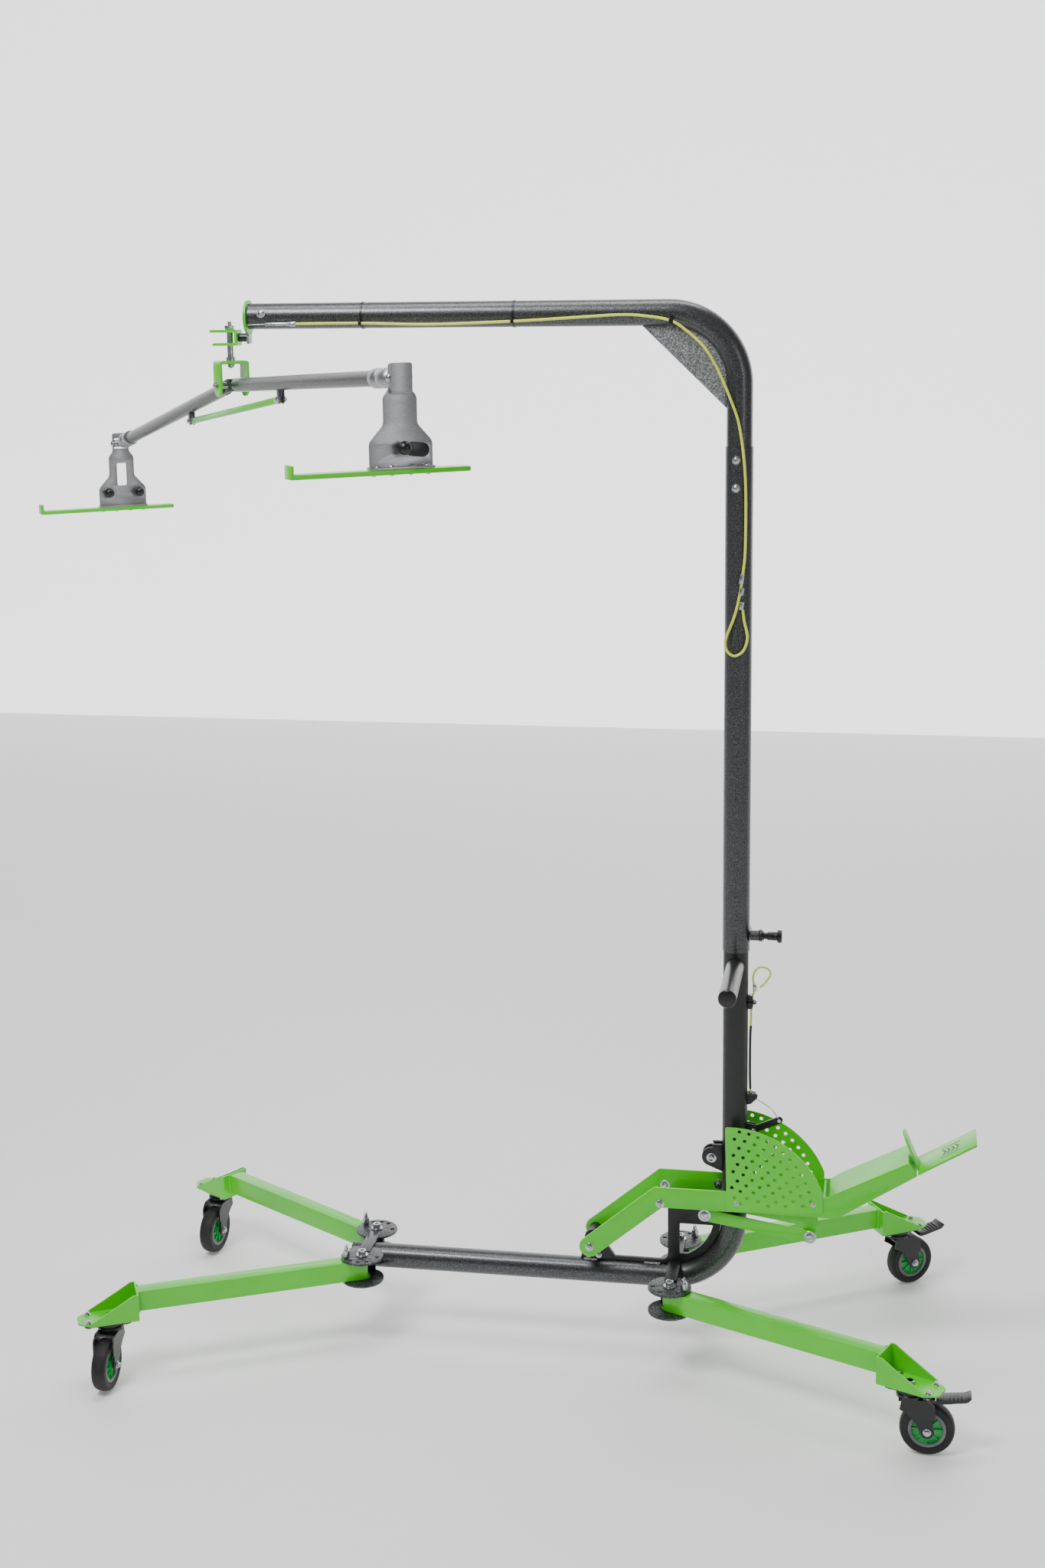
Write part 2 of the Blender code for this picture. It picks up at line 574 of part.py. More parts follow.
def make_column():
    """The sliding sleeve, the boom with its gusset and the boom's end flange."""
    bore = TUBE_R + GAP
    outer = bore + SLEEVE_WALL
    sleeve = tube([(0, 0, SLEEVE_LOW_Z), (0, 0, SLEEVE_TOP_Z)], outer, SLEEVE_WALL)
    plunger_z = SLEEVE_LOW_Z + 0.0294
    boss = rod((bore + 0.0007, 0, plunger_z), (0.046, 0, plunger_z), 0.0095, 12)
    guide = rod((0.015, 0, plunger_z), (0.060, 0, plunger_z), 0.005 + RUN, 12)
    settle(built(sleeve, [boss], [guide]), "sleeve", HAMMERED)
    pin = rod((TUBE_R + 2 * GAP, 0, plunger_z), (0.075, 0, plunger_z), 0.005, 12)
    knob = [rod((0.0465, 0, plunger_z), (0.074, 0, plunger_z), 0.0085, 12),
            rod((0.0735, 0, plunger_z), (0.087, 0, plunger_z), 0.013)]
    settle(built(pin, knob), "index_plunger", PLASTIC, (TUBE_R, 0, plunger_z))

    end_x = -BOOM_REACH + FLANGE_T + GAP
    boom = tube(bent((end_x, 0, BOOM_Z), (0, 0, BOOM_Z), (0, 0, BOOM_LEG_Z), BEND_R), TUBE_R, TUBE_WALL)
    bend = (-BEND_R, BOOM_Z - BEND_R)
    grip = BEND_R - TUBE_R + 0.001
    low_z = bend[1] - 0.043
    gusset = [(-0.178, bend[1] + grip), *arc(bend, grip, 90, 0, BEND_STEPS), (bend[0] + grip, low_z)]
    settle(built(boom, [plate(gusset, 0.006, SIDE)]), "boom_tube", HAMMERED)

    turn = Matrix.Translation((-BOOM_REACH + FLANGE_T / 2, 0, 0)) @ FACE
    flange = plate(circle((0, BOOM_Z - 0.002), FLANGE_R, 32), FLANGE_T, turn)
    tab = block((-BOOM_REACH, -0.011, 1.988), (-BOOM_REACH + FLANGE_T, 0.011, 2.012))
    settle(built(flange, [tab]), "boom_flange", GREEN)


# --- foot lever -------------------------------------------------------------------------
def make_lever_frame():
    half = LEVER_H / 2
    px, pz = LEVER_PIVOT
    bx, bz = LEVER_BEND
    slope = math.atan2(bz - pz, bx - px)
    shift = half * math.tan(slope / 2)
    low_end, high_end = (0.350, 0.419), (0.333, 0.444)
    crest = (0.204, 0.377)
    notch = (0.185, bz + half)
    degrees = math.degrees(slope)
    outline = arc(LEVER_PIVOT, half, degrees + 90, degrees + 270, 8)
    outline += [(bx + shift, bz - half), (LEVER_KNEE_X, bz - half), low_end, high_end, crest]
    outline += [notch, (bx - shift, bz + half)]
    arm, other = (plate(outline, PLATE_T, side_frame(sign * LEVER_Y)) for sign in (-1, 1))
    inside = LEVER_Y - PLATE_T / 2 + 0.0005
    width = 2 * inside
    top = [notch, crest, high_end, (high_end[0] - 0.001, high_end[1] - 0.003),
           (crest[0] + 0.001, crest[1] - 0.003), (notch[0] + 0.002, notch[1] - 0.003)]
    end = [high_end, low_end, (low_end[0] - 0.004, low_end[1] - 0.0035), (high_end[0] - 0.004, high_end[1] - 0.004)]
    rear_plate = [(0.173, bz - half + 0.002), (0.177, bz - half + 0.002),
                  (0.177, bz + half - 0.002), (0.173, bz + half - 0.002)]
    front_plate = [(-0.190, 0.295), (-0.187, 0.292), (-0.152, 0.330), (-0.155, 0.333)]
    joined = [other] + [plate(shape, width, SIDE) for shape in (top, end, rear_plate, front_plate)]
    joined.append(rod((px, -LEVER_Y - 0.008, pz), (px, LEVER_Y + 0.008, pz), SHAFT_R, 12))
    for sign in (-1, 1):
        joined.append(rod((px, sign * 0.0045, pz), (px, sign * inside, pz), 0.012))
    joined.append(rod((STRUT_PIVOT[0], -inside, STRUT_PIVOT[1]), (STRUT_PIVOT[0], inside, STRUT_PIVOT[1]),
                      0.005, 12))
    settle(built(arm, joined), "lever_frame", GREEN, (px, 0, pz))


def make_lever_fittings():
    pivot = (LEVER_PIVOT[0], 0, LEVER_PIVOT[1])
    root = PEDAL_ROOT
    fin_top = (0.3225, 0.492)
    tread = plate(strip(root, PEDAL_TOE, 0.002, 3), 0.080, SIDE)
    lean = math.atan2(root[0] - fin_top[0], fin_top[1] - root[1])
    length = math.hypot(root[0] - fin_top[0], fin_top[1] - root[1])
    tongue = [(-0.024, 0.0), (0.024, 0.0), *arc((0, length - 0.022), 0.022, 0, 180, 8)]
    stand = Matrix.Translation((root[0], 0, root[1])) @ Matrix.Rotation(-lean, 4, "Y") @ FACE
    settle(built(tread, [plate(tongue, 0.004, stand)]), "pedal_plate", GREEN, pivot)

    outline = [(-0.011, 0.324), (0.173, 0.332), (0.1725, 0.375)]
    outline += bulge((0.1725, 0.375), (0.007, 0.497), 0.190, 10)[1:]
    outline += [(-0.010, 0.497), (-0.015, 0.491)]
    guard_y = LEVER_Y + PLATE_T / 2 + GAP + GUARD_T / 2
    for name, side in (("guard_near", -1), ("guard_far", 1)):
        settle(plate(outline, GUARD_T, side_frame(side * guard_y)), name, GREEN, pivot)


def make_link():
    """The lower link, and the strut whose eye hangs loosely round the link's rear shaft."""
    near, far = (plate(strip(LINK_PIVOT, LINK_END, 0.012), 0.003, side_frame(sign * LINK_Y))
                 for sign in (-1, 1))
    joined = [far]
    for x, z in (LINK_PIVOT, LINK_END):
        joined.append(rod((x, -LINK_Y - 0.004, z), (x, LINK_Y + 0.004, z), SHAFT_R, 12))
    settle(built(near, joined), "lever_link", GREEN, (LINK_PIVOT[0], 0, LINK_PIVOT[1]))
    holes = [circle(STRUT_PIVOT, 0.005 + RUN, 12), circle(LINK_END, SHAFT_R + 0.003, 12)]
    outline = strip(LINK_END, STRUT_PIVOT, 0.0125)
    one, two = (plate(outline, 0.003, side_frame(sign * 0.029), holes) for sign in (-1, 1))
    middle = (LINK_END[1] + STRUT_PIVOT[1]) / 2
    spacer = rod((STRUT_PIVOT[0], -0.029, middle), (STRUT_PIVOT[0], 0.029, middle), 0.006, 12)
    settle(built(one, [two, spacer]), "link_strut", GREEN, (STRUT_PIVOT[0], 0, STRUT_PIVOT[1]))


# --- spreader ---------------------------------------------------------------------------
def make_head():
    x = SPREADER_X
    back_x = x + 0.018
    side = block((back_x - 0.005, -0.016, 1.985), (back_x, 0.016, 2.0145))
    joined = [block((x - 0.035, -0.016, 2.0095), (back_x, 0.016, 2.0145)),
              block((x - 0.030, -0.016, 1.985), (back_x, 0.016, 1.990)),
              rod((back_x - 0.0005, 0, 2.000), (-BOOM_REACH - GAP, 0, 2.000), 0.008, 12)]
    pin_hole = rod((x, 0, 1.980), (x, 0, 2.020), PIVOT_BOLT_R + RUN, 12)
    settle(built(side, joined, [pin_hole]), "head_bracket", GREEN)
    pin = rod((x, 0, 1.957 + GAP), (x, 0, 2.030), PIVOT_BOLT_R, 12)
    settle(built(pin, [rod((x, 0, 2.0145 + GAP), (x, 0, 2.023), 0.010, 6)]), "swivel_pin", ZINC, (x, 0, 2.0))
    top = block((-0.020, -0.029, 1.952), (0.020, 0.029, 1.957))
    ears = [block((-0.020, sign * 0.0265 - 0.0025, 1.890), (0.020, sign * 0.0265 + 0.0025, 1.954))
            for sign in (-1, 1)]
    bolt = rod((0, -0.037, SPREADER_Z), (0, 0.037, SPREADER_Z), SHAFT_R, 12)
    yoke = built(top, [*ears, bolt])
    place_copy(yoke, yoke.data, "spreader_yoke", GREEN, (x, 0, 0), SPREADER_HEADING)


def arm_mesh():
    """One arm along +X from the yoke bolt: eye, tube, end cup, hinge barrel and link lug."""
    tip = ARM_LENGTH
    body = tube([(0.034, 0, 0), (tip - 0.080, 0, 0)], ARM_R, 0.002, 12)
    eye_y = 0.0045
    eye = plate(strip((0, 0), (0.046, 0), 0.0125), 0.007, side_frame(eye_y))
    cup = rod((tip - 0.096, 0, 0), (tip - 0.026, 0, 0), ARM_R + 0.0035)
    neck = block((tip - 0.027, -0.009, -0.007), (tip, 0.009, 0.007))
    barrel = rod((tip, -0.014, 0), (tip, 0.014, 0), 0.008, 12)
    lug = plate(strip((LUG_REACH, -LUG_DROP), (LUG_REACH, -ARM_R + 0.002), 0.008, 4), 0.010, SIDE)
    cut = [rod((tip, -0.020, 0), (tip, 0.020, 0), INDEX_PIN_R + RUN, 12),
           rod((0, -0.005, 0), (0, 0.015, 0), SHAFT_R + RUN, 12)]
    return prototype(built(body, [eye, cup, neck, barrel, lug], cut))


def hanger_piece(knobs, knob_side):
    """A stepped plate with a window for the arm's barrel, a cross pin and a foot."""
    wide = HANGER_W / 2
    low = -HANGER_DROP
    half = [(wide, low), (wide, low + 0.042), (0.028, low + 0.069), (0.028, -0.027),
            (0.018, -0.020), (0.018, 0.016), (0.012, 0.023)]
    outline = half + [(-u, v) for u, v in reversed(half)]
    window = [(-0.0146, -0.0115), (0.0146, -0.0115), (0.0146, 0.0115), (-0.0146, 0.0115)]
    holes = [window] + [circle((u, v), INDEX_PIN_R + RUN, 12) for u, v in knobs]
    body = plate(outline, HANGER_T, FACE, holes)
    foot = block((-0.013, -wide, low), (0.013, wide, low + 0.004))
    pin = rod((0, -0.0155, 0), (0, 0.0155, 0), INDEX_PIN_R, 12)
    ball_x = knob_side * (HANGER_T / 2 + 0.015)
    knob_meshes = []
    for u, v in knobs:
        stem = rod((-knob_side * 0.006, u, v), (ball_x, u, v), INDEX_PIN_R, 12)
        knob_meshes.append(built(stem, [ball((ball_x, u, v), 0.011)]))
    return built(body, [foot, pin]), knob_meshes


def sling_bar(hook_side):
    low = -HANGER_DROP - GAP
    reach, middle = BAR_LENGTH / 2, hook_side * BAR_SHIFT
    flat = block((-0.014, middle - reach, low - BAR_T), (0.014, middle + reach, low))
    end, inner = middle + hook_side * reach, middle + hook_side * (reach - 0.006)
    hook = block((-0.014, min(end, inner), low - BAR_T), (0.014, max(end, inner), low + 0.014))
    return built(flat, [hook])


def make_spreader():
    mesh = arm_mesh()
    centre = Vector((SPREADER_X, 0, SPREADER_Z))
    lugs = []
    for side, turn, pitch in (("near", 0.0, NEAR_PITCH), ("far", 180.0, FAR_PITCH)):
        heading = math.radians(SPREADER_HEADING + turn)
        tilt = math.radians(-pitch)
        piece = add(mesh)
        place_copy(piece, mesh, "arm_" + side, HAMMERED, centre, 0.0)
        piece.rotation_euler = (0.0, tilt, heading)
        frame = Matrix.Rotation(heading, 4, "Z") @ Matrix.Rotation(tilt, 4, "Y")
        tip = centre + frame @ Vector((ARM_LENGTH, 0, 0))
        lugs.append(centre + frame @ Vector((LUG_REACH, 0, -LUG_DROP)))
        knobs = [(0.0, -0.108)] if side == "near" else [(-0.035, -0.108), (0.035, -0.108)]
        knob_side = 1 if side == "near" else -1
        hook_side = -1 if side == "near" else 1
        hanger, balls = hanger_piece(knobs, knob_side)
        place_copy(hanger, hanger.data, "hanger_" + side, ALUMINIUM, tip, math.degrees(heading))
        bar_piece = sling_bar(hook_side)
        place_copy(bar_piece, bar_piece.data, "sling_bar_" + side, GREEN, tip, math.degrees(heading))
        for index, knob in enumerate(balls):
            name = "knob_" + side if side == "near" else "knob_far_" + ("right", "left")[index]
            place_copy(knob, knob.data, name, PLASTIC, tip, math.degrees(heading))
    away = (lugs[1] - lugs[0]).normalized() * (0.008 + 2 * GAP)
    settle(rod(lugs[0] + away, lugs[1] - away, 0.0062, 12), "link_rod", GREEN, centre)


# --- cables -----------------------------------------------------------------------------
def make_cables():
    y = -TUBE_R - 0.005
    end_x = -BOOM_REACH + 0.0445
    upper = [(end_x, y, 2.025), (end_x + 0.056, y, 2.025), (-0.700, y, 2.025), (-0.569, y, 2.022),
             (-0.414, y, 2.026), (-0.278, y, 2.033), (-0.216, y, 2.036), (-0.175, y, 2.034),
             (-0.124, y, 2.025), (-0.090, y, 2.003), (-0.061, y, 1.975), (-0.037, y, 1.935),
             (-0.014, y, 1.882), (0.002, y, 1.833), (0.013, y, 1.741), (0.014, y, 1.619),
             (0.010, y, 1.567), (0.003, y, 1.520), (-0.006, y, 1.484), (-0.021, y, 1.443),
             (-0.018, y, 1.422), (-0.004, y, 1.413), (0.012, y, 1.424), (0.019, y, 1.448),
             (0.013, y, 1.478), (0.010, y, 1.500)]
    settle(bar(smooth_path(upper, 2), CABLE_R, 8), "upper_release_cable", YELLOW)
    x = CABLE_X
    lower = [(x + 0.055, -0.0045, 0.500), (x + 0.042, -0.0045, 0.520), (x + 0.022, -0.003, 0.534),
             (x + 0.006, -0.001, 0.5415), (x, 0, 0.552), (x - 0.0015, 0, 0.590),
             (x - 0.0015, 0, 0.660), (x, 0, 0.702), (x, 0, 0.738), (x + 0.006, 0, 0.760),
             (x + 0.003, 0, 0.786), (x + 0.013, 0, 0.804), (x + 0.030, 0, 0.803),
             (x + 0.036, 0, 0.792), (x + 0.028, 0, 0.777), (x + 0.016, 0, 0.764)]
    settle(bar(smooth_path(lower, 2), CABLE_R - 0.0005, 8), "lower_release_cable", YELLOW)


# --- whole lift -------------------------------------------------------------------------
def stand_on_origin():
    """Move the whole lift so that its bounding box stands centred on the origin."""
    bpy.context.view_layer.update()
    low = Vector((math.inf,) * 3)
    high = Vector((-math.inf,) * 3)
    for piece in PARTS.objects:
        if piece.type != "MESH":
            continue
        for vertex in piece.data.vertices:
            place = piece.matrix_world @ vertex.co
            low = Vector(map(min, low, place))
            high = Vector(map(max, high, place))
    ROOT.location = (-(low.x + high.x) / 2, -(low.y + high.y) / 2, -low.z)


make_base_tube()
make_base_gusset()
make_pivot_yoke("front_pivot_yoke", FRONT_X, FRONT_Y, ("front_near", "front_far"), GREY)
make_pivot_yoke("rear_pivot_yoke", REAR_X, REAR_Y, ("rear_near", "rear_far"), GREY)
make_pivot_hardware()
make_legs()
make_casters()
make_mast()
make_column()
make_lever_frame()
make_lever_fittings()
make_link()
make_head()
make_spreader()
make_cables()
stand_on_origin()
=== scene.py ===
"""The looks of the sit to stand lift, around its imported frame.

Shapes are drawn from the mast's axis at floor level, in metres, and moved to the frame's place
as each piece is finished.
"""
import math

import bmesh
import bpy
from mathutils import Matrix, Vector


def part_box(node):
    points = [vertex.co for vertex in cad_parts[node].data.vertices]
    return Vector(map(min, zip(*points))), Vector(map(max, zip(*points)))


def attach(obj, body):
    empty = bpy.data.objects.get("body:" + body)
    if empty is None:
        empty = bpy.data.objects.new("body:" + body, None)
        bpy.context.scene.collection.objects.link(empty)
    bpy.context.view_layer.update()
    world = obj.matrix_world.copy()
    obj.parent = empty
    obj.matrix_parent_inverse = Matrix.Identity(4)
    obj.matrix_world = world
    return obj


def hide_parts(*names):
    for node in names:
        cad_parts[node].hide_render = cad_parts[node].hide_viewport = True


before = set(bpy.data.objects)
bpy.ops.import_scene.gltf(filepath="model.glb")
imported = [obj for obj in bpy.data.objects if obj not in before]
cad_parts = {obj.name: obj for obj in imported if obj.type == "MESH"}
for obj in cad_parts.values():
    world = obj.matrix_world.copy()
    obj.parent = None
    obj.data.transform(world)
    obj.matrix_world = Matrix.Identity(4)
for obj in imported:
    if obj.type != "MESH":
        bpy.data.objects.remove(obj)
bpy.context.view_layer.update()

# --- sizes shared with the frame --------------------------------------------------------
handle_low, handle_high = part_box("push_handle")
AXIS = Vector(((handle_low[0] + handle_high[0]) / 2, (handle_low[1] + handle_high[1]) / 2, 0.0))

GAP = 0.0003  # clear space between pieces that don't touch
CORE_R = 0.0002  # how near its axis a turned profile closes
TUBE_R = 0.024
TUBE_WALL = 0.003
BEND_R = 0.130
BASE_Z = 0.1616
BASE_REACH = 0.773
MAST_FOOT_Z = 0.300
MAST_TOP_Z = 1.350
BOOM_Z = 2.039
BOOM_REACH = 0.9245
BOOM_LEG_Z = 1.680
SLEEVE_R = 0.0257
SLEEVE_LOW_Z = 0.8386
SLEEVE_TOP_Z = 1.7965
PLUNGER_Z = 0.868
FLANGE_T = 0.0045

PLATE_T = 0.004
BOLT_R = 0.006
INDEX_R = 0.042
INDEX_PITCH_R = 0.032
INDEX_TOP_Z = BASE_Z + TUBE_R + 0.0023
INDEX_LOW_Z = BASE_Z - TUBE_R - 0.0006
INDEX_STEP = 31.0
STOW_SWING = 145.0
STRAP_HALF = 0.012
FRONT_X = -0.7376
FRONT_Y = 0.0617
REAR_X = -0.1159
REAR_Y = 0.1045

LEG_H = 0.040
LEG_W = 0.030
LEG_LENGTH = 0.447
LEG_Z = 0.1625
BRACKET_L = 0.116
BRACKET_W = 0.064
BRACKET_Z = 0.1305
BRACKET_T = 0.003
SWIVEL_REACH = 0.500
TRAIL = 0.032
WHEEL_R = 0.050
TYRE_W = 0.028
HUB_R = 0.0347
FORK_TOP_Z = 0.1265

HANDLE_Z = 0.811
HANDLE_R = 0.017
HANDLE_REACH = 0.213
LEVER_Y = 0.045
LEVER_H = 0.041
LEVER_PIVOT = (-0.280, 0.231)
LEVER_BEND = (-0.1449, 0.3435)
GUARD_T = 0.002
LINK_Y = 0.035
LINK_PIVOT = (-0.055, 0.308)
LINK_END = (0.149, 0.277)
STRUT_PIVOT = (0.150, 0.343)
PEDAL_ROOT = (0.3530, 0.4205)
PEDAL_TOE = (0.458, 0.4835)
RELEASE_PIVOT = (0.036, 0.476)
RELEASE_END = (0.086, 0.498)
ROLLER_X = -0.044
ROLLER_Z = 0.418
CROWN_Z = 2 * WHEEL_R + 0.007

SPREADER = Vector((-0.960, 0.0, 1.911))
SPREADER_HEADING = -54.0
PITCH = {"near": 3.0, "far": -11.2}
ARM_R = 0.013
ARM_LENGTH = 0.8215
LUG_REACH = 0.272
LUG_DROP = 0.029
HANGER_DROP = 0.141
HANGER_W = 0.106
HANGER_T = 0.005
BAR_LENGTH = 0.302
BAR_SHIFT = 0.037
BAR_T = 0.008
CABLE_R = 0.0025

LEGS = {
    "front_near": (FRONT_X, -FRONT_Y, 206.0, 1),
    "front_far": (FRONT_X, FRONT_Y, 148.0, -1),
    "rear_near": (REAR_X, -REAR_Y, -23.6, -1),
    "rear_far": (REAR_X, REAR_Y, 30.0, 1),
}
CASTER_HEADINGS = {"front_near": -90.0, "front_far": -99.0, "rear_near": -1.0, "rear_far": 34.0}

SIDE = Matrix.Rotation(math.radians(90), 4, "X")
ALONG_X = Matrix.Rotation(math.radians(90), 4, "Y")
FACE = Matrix(((0, 0, 1, 0), (1, 0, 0, 0), (0, 1, 0, 0), (0, 0, 0, 1)))
BEND_STEPS = 24
TUBE_SIDES = 64


# --- camera -----------------------------------------------------------------------------
def make_camera():
    yaw, pitch, roll = (math.radians(angle) for angle in (10.13, 10.97, -0.72))
    right = Vector((math.cos(yaw), math.sin(yaw), 0))
    ahead = Vector((-math.sin(yaw) * math.cos(pitch), math.cos(yaw) * math.cos(pitch), -math.sin(pitch)))
    up = right.cross(ahead)
    level = right * math.cos(roll) + up * math.sin(roll)
    upright = up * math.cos(roll) - right * math.sin(roll)
    data = bpy.data.cameras.new("camera")
    data.sensor_fit = "VERTICAL"
    data.sensor_height = 36.0
    data.lens = 48.92
    data.shift_y = -0.0581
    camera = bpy.data.objects.new("camera", data)
    turn = Matrix((level, upright, -ahead)).transposed().to_4x4()
    camera.matrix_world = Matrix.Translation(AXIS + Vector((0.2909, -3.9138, 2.100))) @ turn
    bpy.context.scene.collection.objects.link(camera)
    bpy.context.scene.camera = camera


make_camera()


# --- materials --------------------------------------------------------------------------
class Finish:
    """A procedural finish on Object coordinates, built node by node."""

    def __init__(self, name, slot, colour, roughness, metallic=0.0, coat=0.0):
        self.slot = slot
        self.material = bpy.data.materials.new(name)
        self.material.use_nodes = True
        self.tree = self.material.node_tree
        self.shader = self.tree.nodes["Principled BSDF"]
        self.shader.inputs["Base Color"].default_value = (*colour, 1.0)
        self.shader.inputs["Roughness"].default_value = roughness
        self.shader.inputs["Metallic"].default_value = metallic
        self.shader.inputs["Coat Weight"].default_value = coat
        self.shader.inputs["Coat Roughness"].default_value = 0.15
        self.place = self.tree.nodes.new("ShaderNodeTexCoord")

    def link(self, source, target):
        self.tree.links.new(source, target)

    def noise(self, scale, detail, stretch=(1.0, 1.0, 1.0)):
        mapping = self.tree.nodes.new("ShaderNodeMapping")
        mapping.inputs["Scale"].default_value = stretch
        self.link(self.place.outputs["Object"], mapping.inputs["Vector"])
        texture = self.tree.nodes.new("ShaderNodeTexNoise")
        texture.inputs["Scale"].default_value = scale
        texture.inputs["Detail"].default_value = detail
        self.link(mapping.outputs["Vector"], texture.inputs["Vector"])
        return texture

    def ramp(self, source, stops):
        ramp = self.tree.nodes.new("ShaderNodeValToRGB")
        elements = ramp.color_ramp.elements
        elements[0].position, elements[1].position = stops[0][0], stops[-1][0]
        elements[0].color, elements[1].color = (*stops[0][1], 1.0), (*stops[-1][1], 1.0)
        for position, colour in stops[1:-1]:
            elements.new(position).color = (*colour, 1.0)
        self.link(source, ramp.inputs["Fac"])
        return ramp.outputs["Color"]

    def tint(self, texture, stops):
        self.link(self.ramp(texture.outputs["Fac"], stops), self.shader.inputs["Base Color"])
        return self

    def shine(self, texture, low, high):
        reach = self.tree.nodes.new("ShaderNodeMapRange")
        reach.inputs["To Min"].default_value = low
        reach.inputs["To Max"].default_value = high
        self.link(texture.outputs["Fac"], reach.inputs["Value"])
        self.link(reach.outputs["Result"], self.shader.inputs["Roughness"])
        return self

    def bump(self, texture, distance, strength):
        bump = self.tree.nodes.new("ShaderNodeBump")
        bump.inputs["Distance"].default_value = distance
        bump.inputs["Strength"].default_value = strength
        self.link(texture.outputs["Fac"], bump.inputs["Height"])
        self.link(bump.outputs["Normal"], self.shader.inputs["Normal"])
        return self


def grained(name, slot, colour, roughness, stain, stops, sheen, grain, metallic=0.0, coat=0.0):
    """Stained colour, uneven sheen (scale, detail, low, high) and grain (scale, detail, depth, strength)."""
    finish = Finish(name, slot, colour, roughness, metallic, coat)
    finish.tint(finish.noise(*stain), stops)
    finish.shine(finish.noise(*sheen[:2]), *sheen[2:])
    return finish.bump(finish.noise(*grain[:2]), *grain[2:])


def satin_black(name, roughness):
    return grained(name, "black_powder_coat", (0.015, 0.015, 0.016), roughness, (9.0, 5.0),
                   [(0.3, (0.004, 0.004, 0.005)), (0.7, (0.010, 0.010, 0.011))],
                   (60.0, 4.0, roughness - 0.08, roughness + 0.12), (900.0, 2.0, 0.0002, 0.4))


def brushed_aluminium():
    finish = Finish("aluminium", "aluminium", (0.62, 0.63, 0.65), 0.34, metallic=0.95)
    strokes = finish.noise(160.0, 6.0, (1.0, 1.0, 14.0))
    finish.tint(strokes, [(0.3, (0.30, 0.305, 0.32)), (0.55, (0.40, 0.405, 0.42)),
                          (0.75, (0.50, 0.505, 0.52))])
    finish.shine(finish.noise(24.0, 4.0), 0.26, 0.46)
    return finish.bump(strokes, 0.0002, 0.35)


def moulded(name, slot, dark, light, roughness, grain=1100.0):
    return grained(name, slot, light, roughness, (30.0, 4.0), [(0.3, dark), (0.7, light)],
                   (80.0, 4.0, roughness - 0.08, roughness + 0.1), (grain, 2.0, 0.00015, 0.35))


def steel_wire():
    finish = Finish("steel_wire", "zinc", (0.6, 0.61, 0.63), 0.3, metallic=1.0)
    strands = finish.tree.nodes.new("ShaderNodeTexWave")
    strands.inputs["Scale"].default_value = 500.0
    strands.bands_direction = "DIAGONAL"
    finish.link(finish.place.outputs["Object"], strands.inputs["Vector"])
    finish.tint(strands, [(0.2, (0.28, 0.29, 0.3)), (0.8, (0.74, 0.75, 0.77))])
    return finish.bump(strands, 0.0003, 0.6)


GREEN = grained("lime_powder_coat", "lime_powder_coat", (0.16, 0.62, 0.03), 0.36, (5.0, 5.0),
                [(0.3, (0.062, 0.560, 0.003)), (0.5, (0.076, 0.630, 0.004)), (0.7, (0.092, 0.690, 0.006))],
                (40.0, 4.0, 0.28, 0.46), (650.0, 2.0, 0.00025, 0.35), coat=0.25)
SILVER = grained("hammered_silver", "hammered_silver", (0.2, 0.2, 0.21), 0.34, (700.0, 3.0),
                 [(0.32, (0.026, 0.027, 0.029)), (0.52, (0.070, 0.072, 0.076)),
                  (0.72, (0.190, 0.194, 0.202))],
                 (500.0, 2.0, 0.30, 0.46), (520.0, 2.0, 0.0004, 0.45), metallic=0.85, coat=0.3)
PALE = grained("pale_hammered", "hammered_silver", (0.3, 0.3, 0.31), 0.4, (430.0, 3.0),
               [(0.35, (0.13, 0.135, 0.14)), (0.52, (0.30, 0.305, 0.315)), (0.68, (0.58, 0.59, 0.60))],
               (300.0, 2.0, 0.3, 0.5), (280.0, 2.0, 0.0008, 0.5), metallic=0.7, coat=0.2)
BLACK = satin_black("black_powder_coat", 0.42)
GLOSS_BLACK = satin_black("gloss_black_coat", 0.3)
GREY = grained("dark_plate", "dark_plate", (0.07, 0.075, 0.08), 0.4, (380.0, 3.0),
               [(0.35, (0.030, 0.031, 0.034)), (0.55, (0.075, 0.078, 0.082)), (0.7, (0.19, 0.195, 0.2))],
               (200.0, 2.0, 0.3, 0.5), (300.0, 2.0, 0.0006, 0.5), metallic=0.6)
ZINC = grained("zinc", "zinc", (0.66, 0.67, 0.69), 0.25, (120.0, 5.0),
               [(0.3, (0.34, 0.35, 0.38)), (0.6, (0.58, 0.59, 0.61)), (0.8, (0.72, 0.72, 0.71))],
               (220.0, 3.0, 0.16, 0.36), (900.0, 2.0, 0.0001, 0.3), metallic=1.0)
ALUMINIUM = brushed_aluminium()
RUBBER = grained("tyre", "tyre", (0.02, 0.02, 0.021), 0.62, (70.0, 6.0),
                 [(0.35, (0.005, 0.005, 0.006)), (0.6, (0.010, 0.010, 0.010)), (0.8, (0.03, 0.029, 0.028))],
                 (90.0, 4.0, 0.5, 0.78), (700.0, 4.0, 0.0003, 0.5))
PLASTIC = moulded("black_plastic", "black_plastic", (0.004, 0.004, 0.005), (0.010, 0.010, 0.011), 0.30)
HUB_GREEN = moulded("hub_green", "lime_powder_coat", (0.012, 0.33, 0.06), (0.02, 0.44, 0.085), 0.32)
RIM_GREY = moulded("rim_grey", "dark_plate", (0.10, 0.105, 0.11), (0.16, 0.165, 0.17), 0.4)
YELLOW = moulded("yellow_sheath", "yellow_sheath", (0.60, 0.72, 0.05), (0.78, 0.90, 0.09), 0.34, 1600.0)
PRINT = moulded("dark_print", "black_plastic", (0.02, 0.03, 0.02), (0.035, 0.045, 0.03), 0.5)
WIRE = steel_wire()


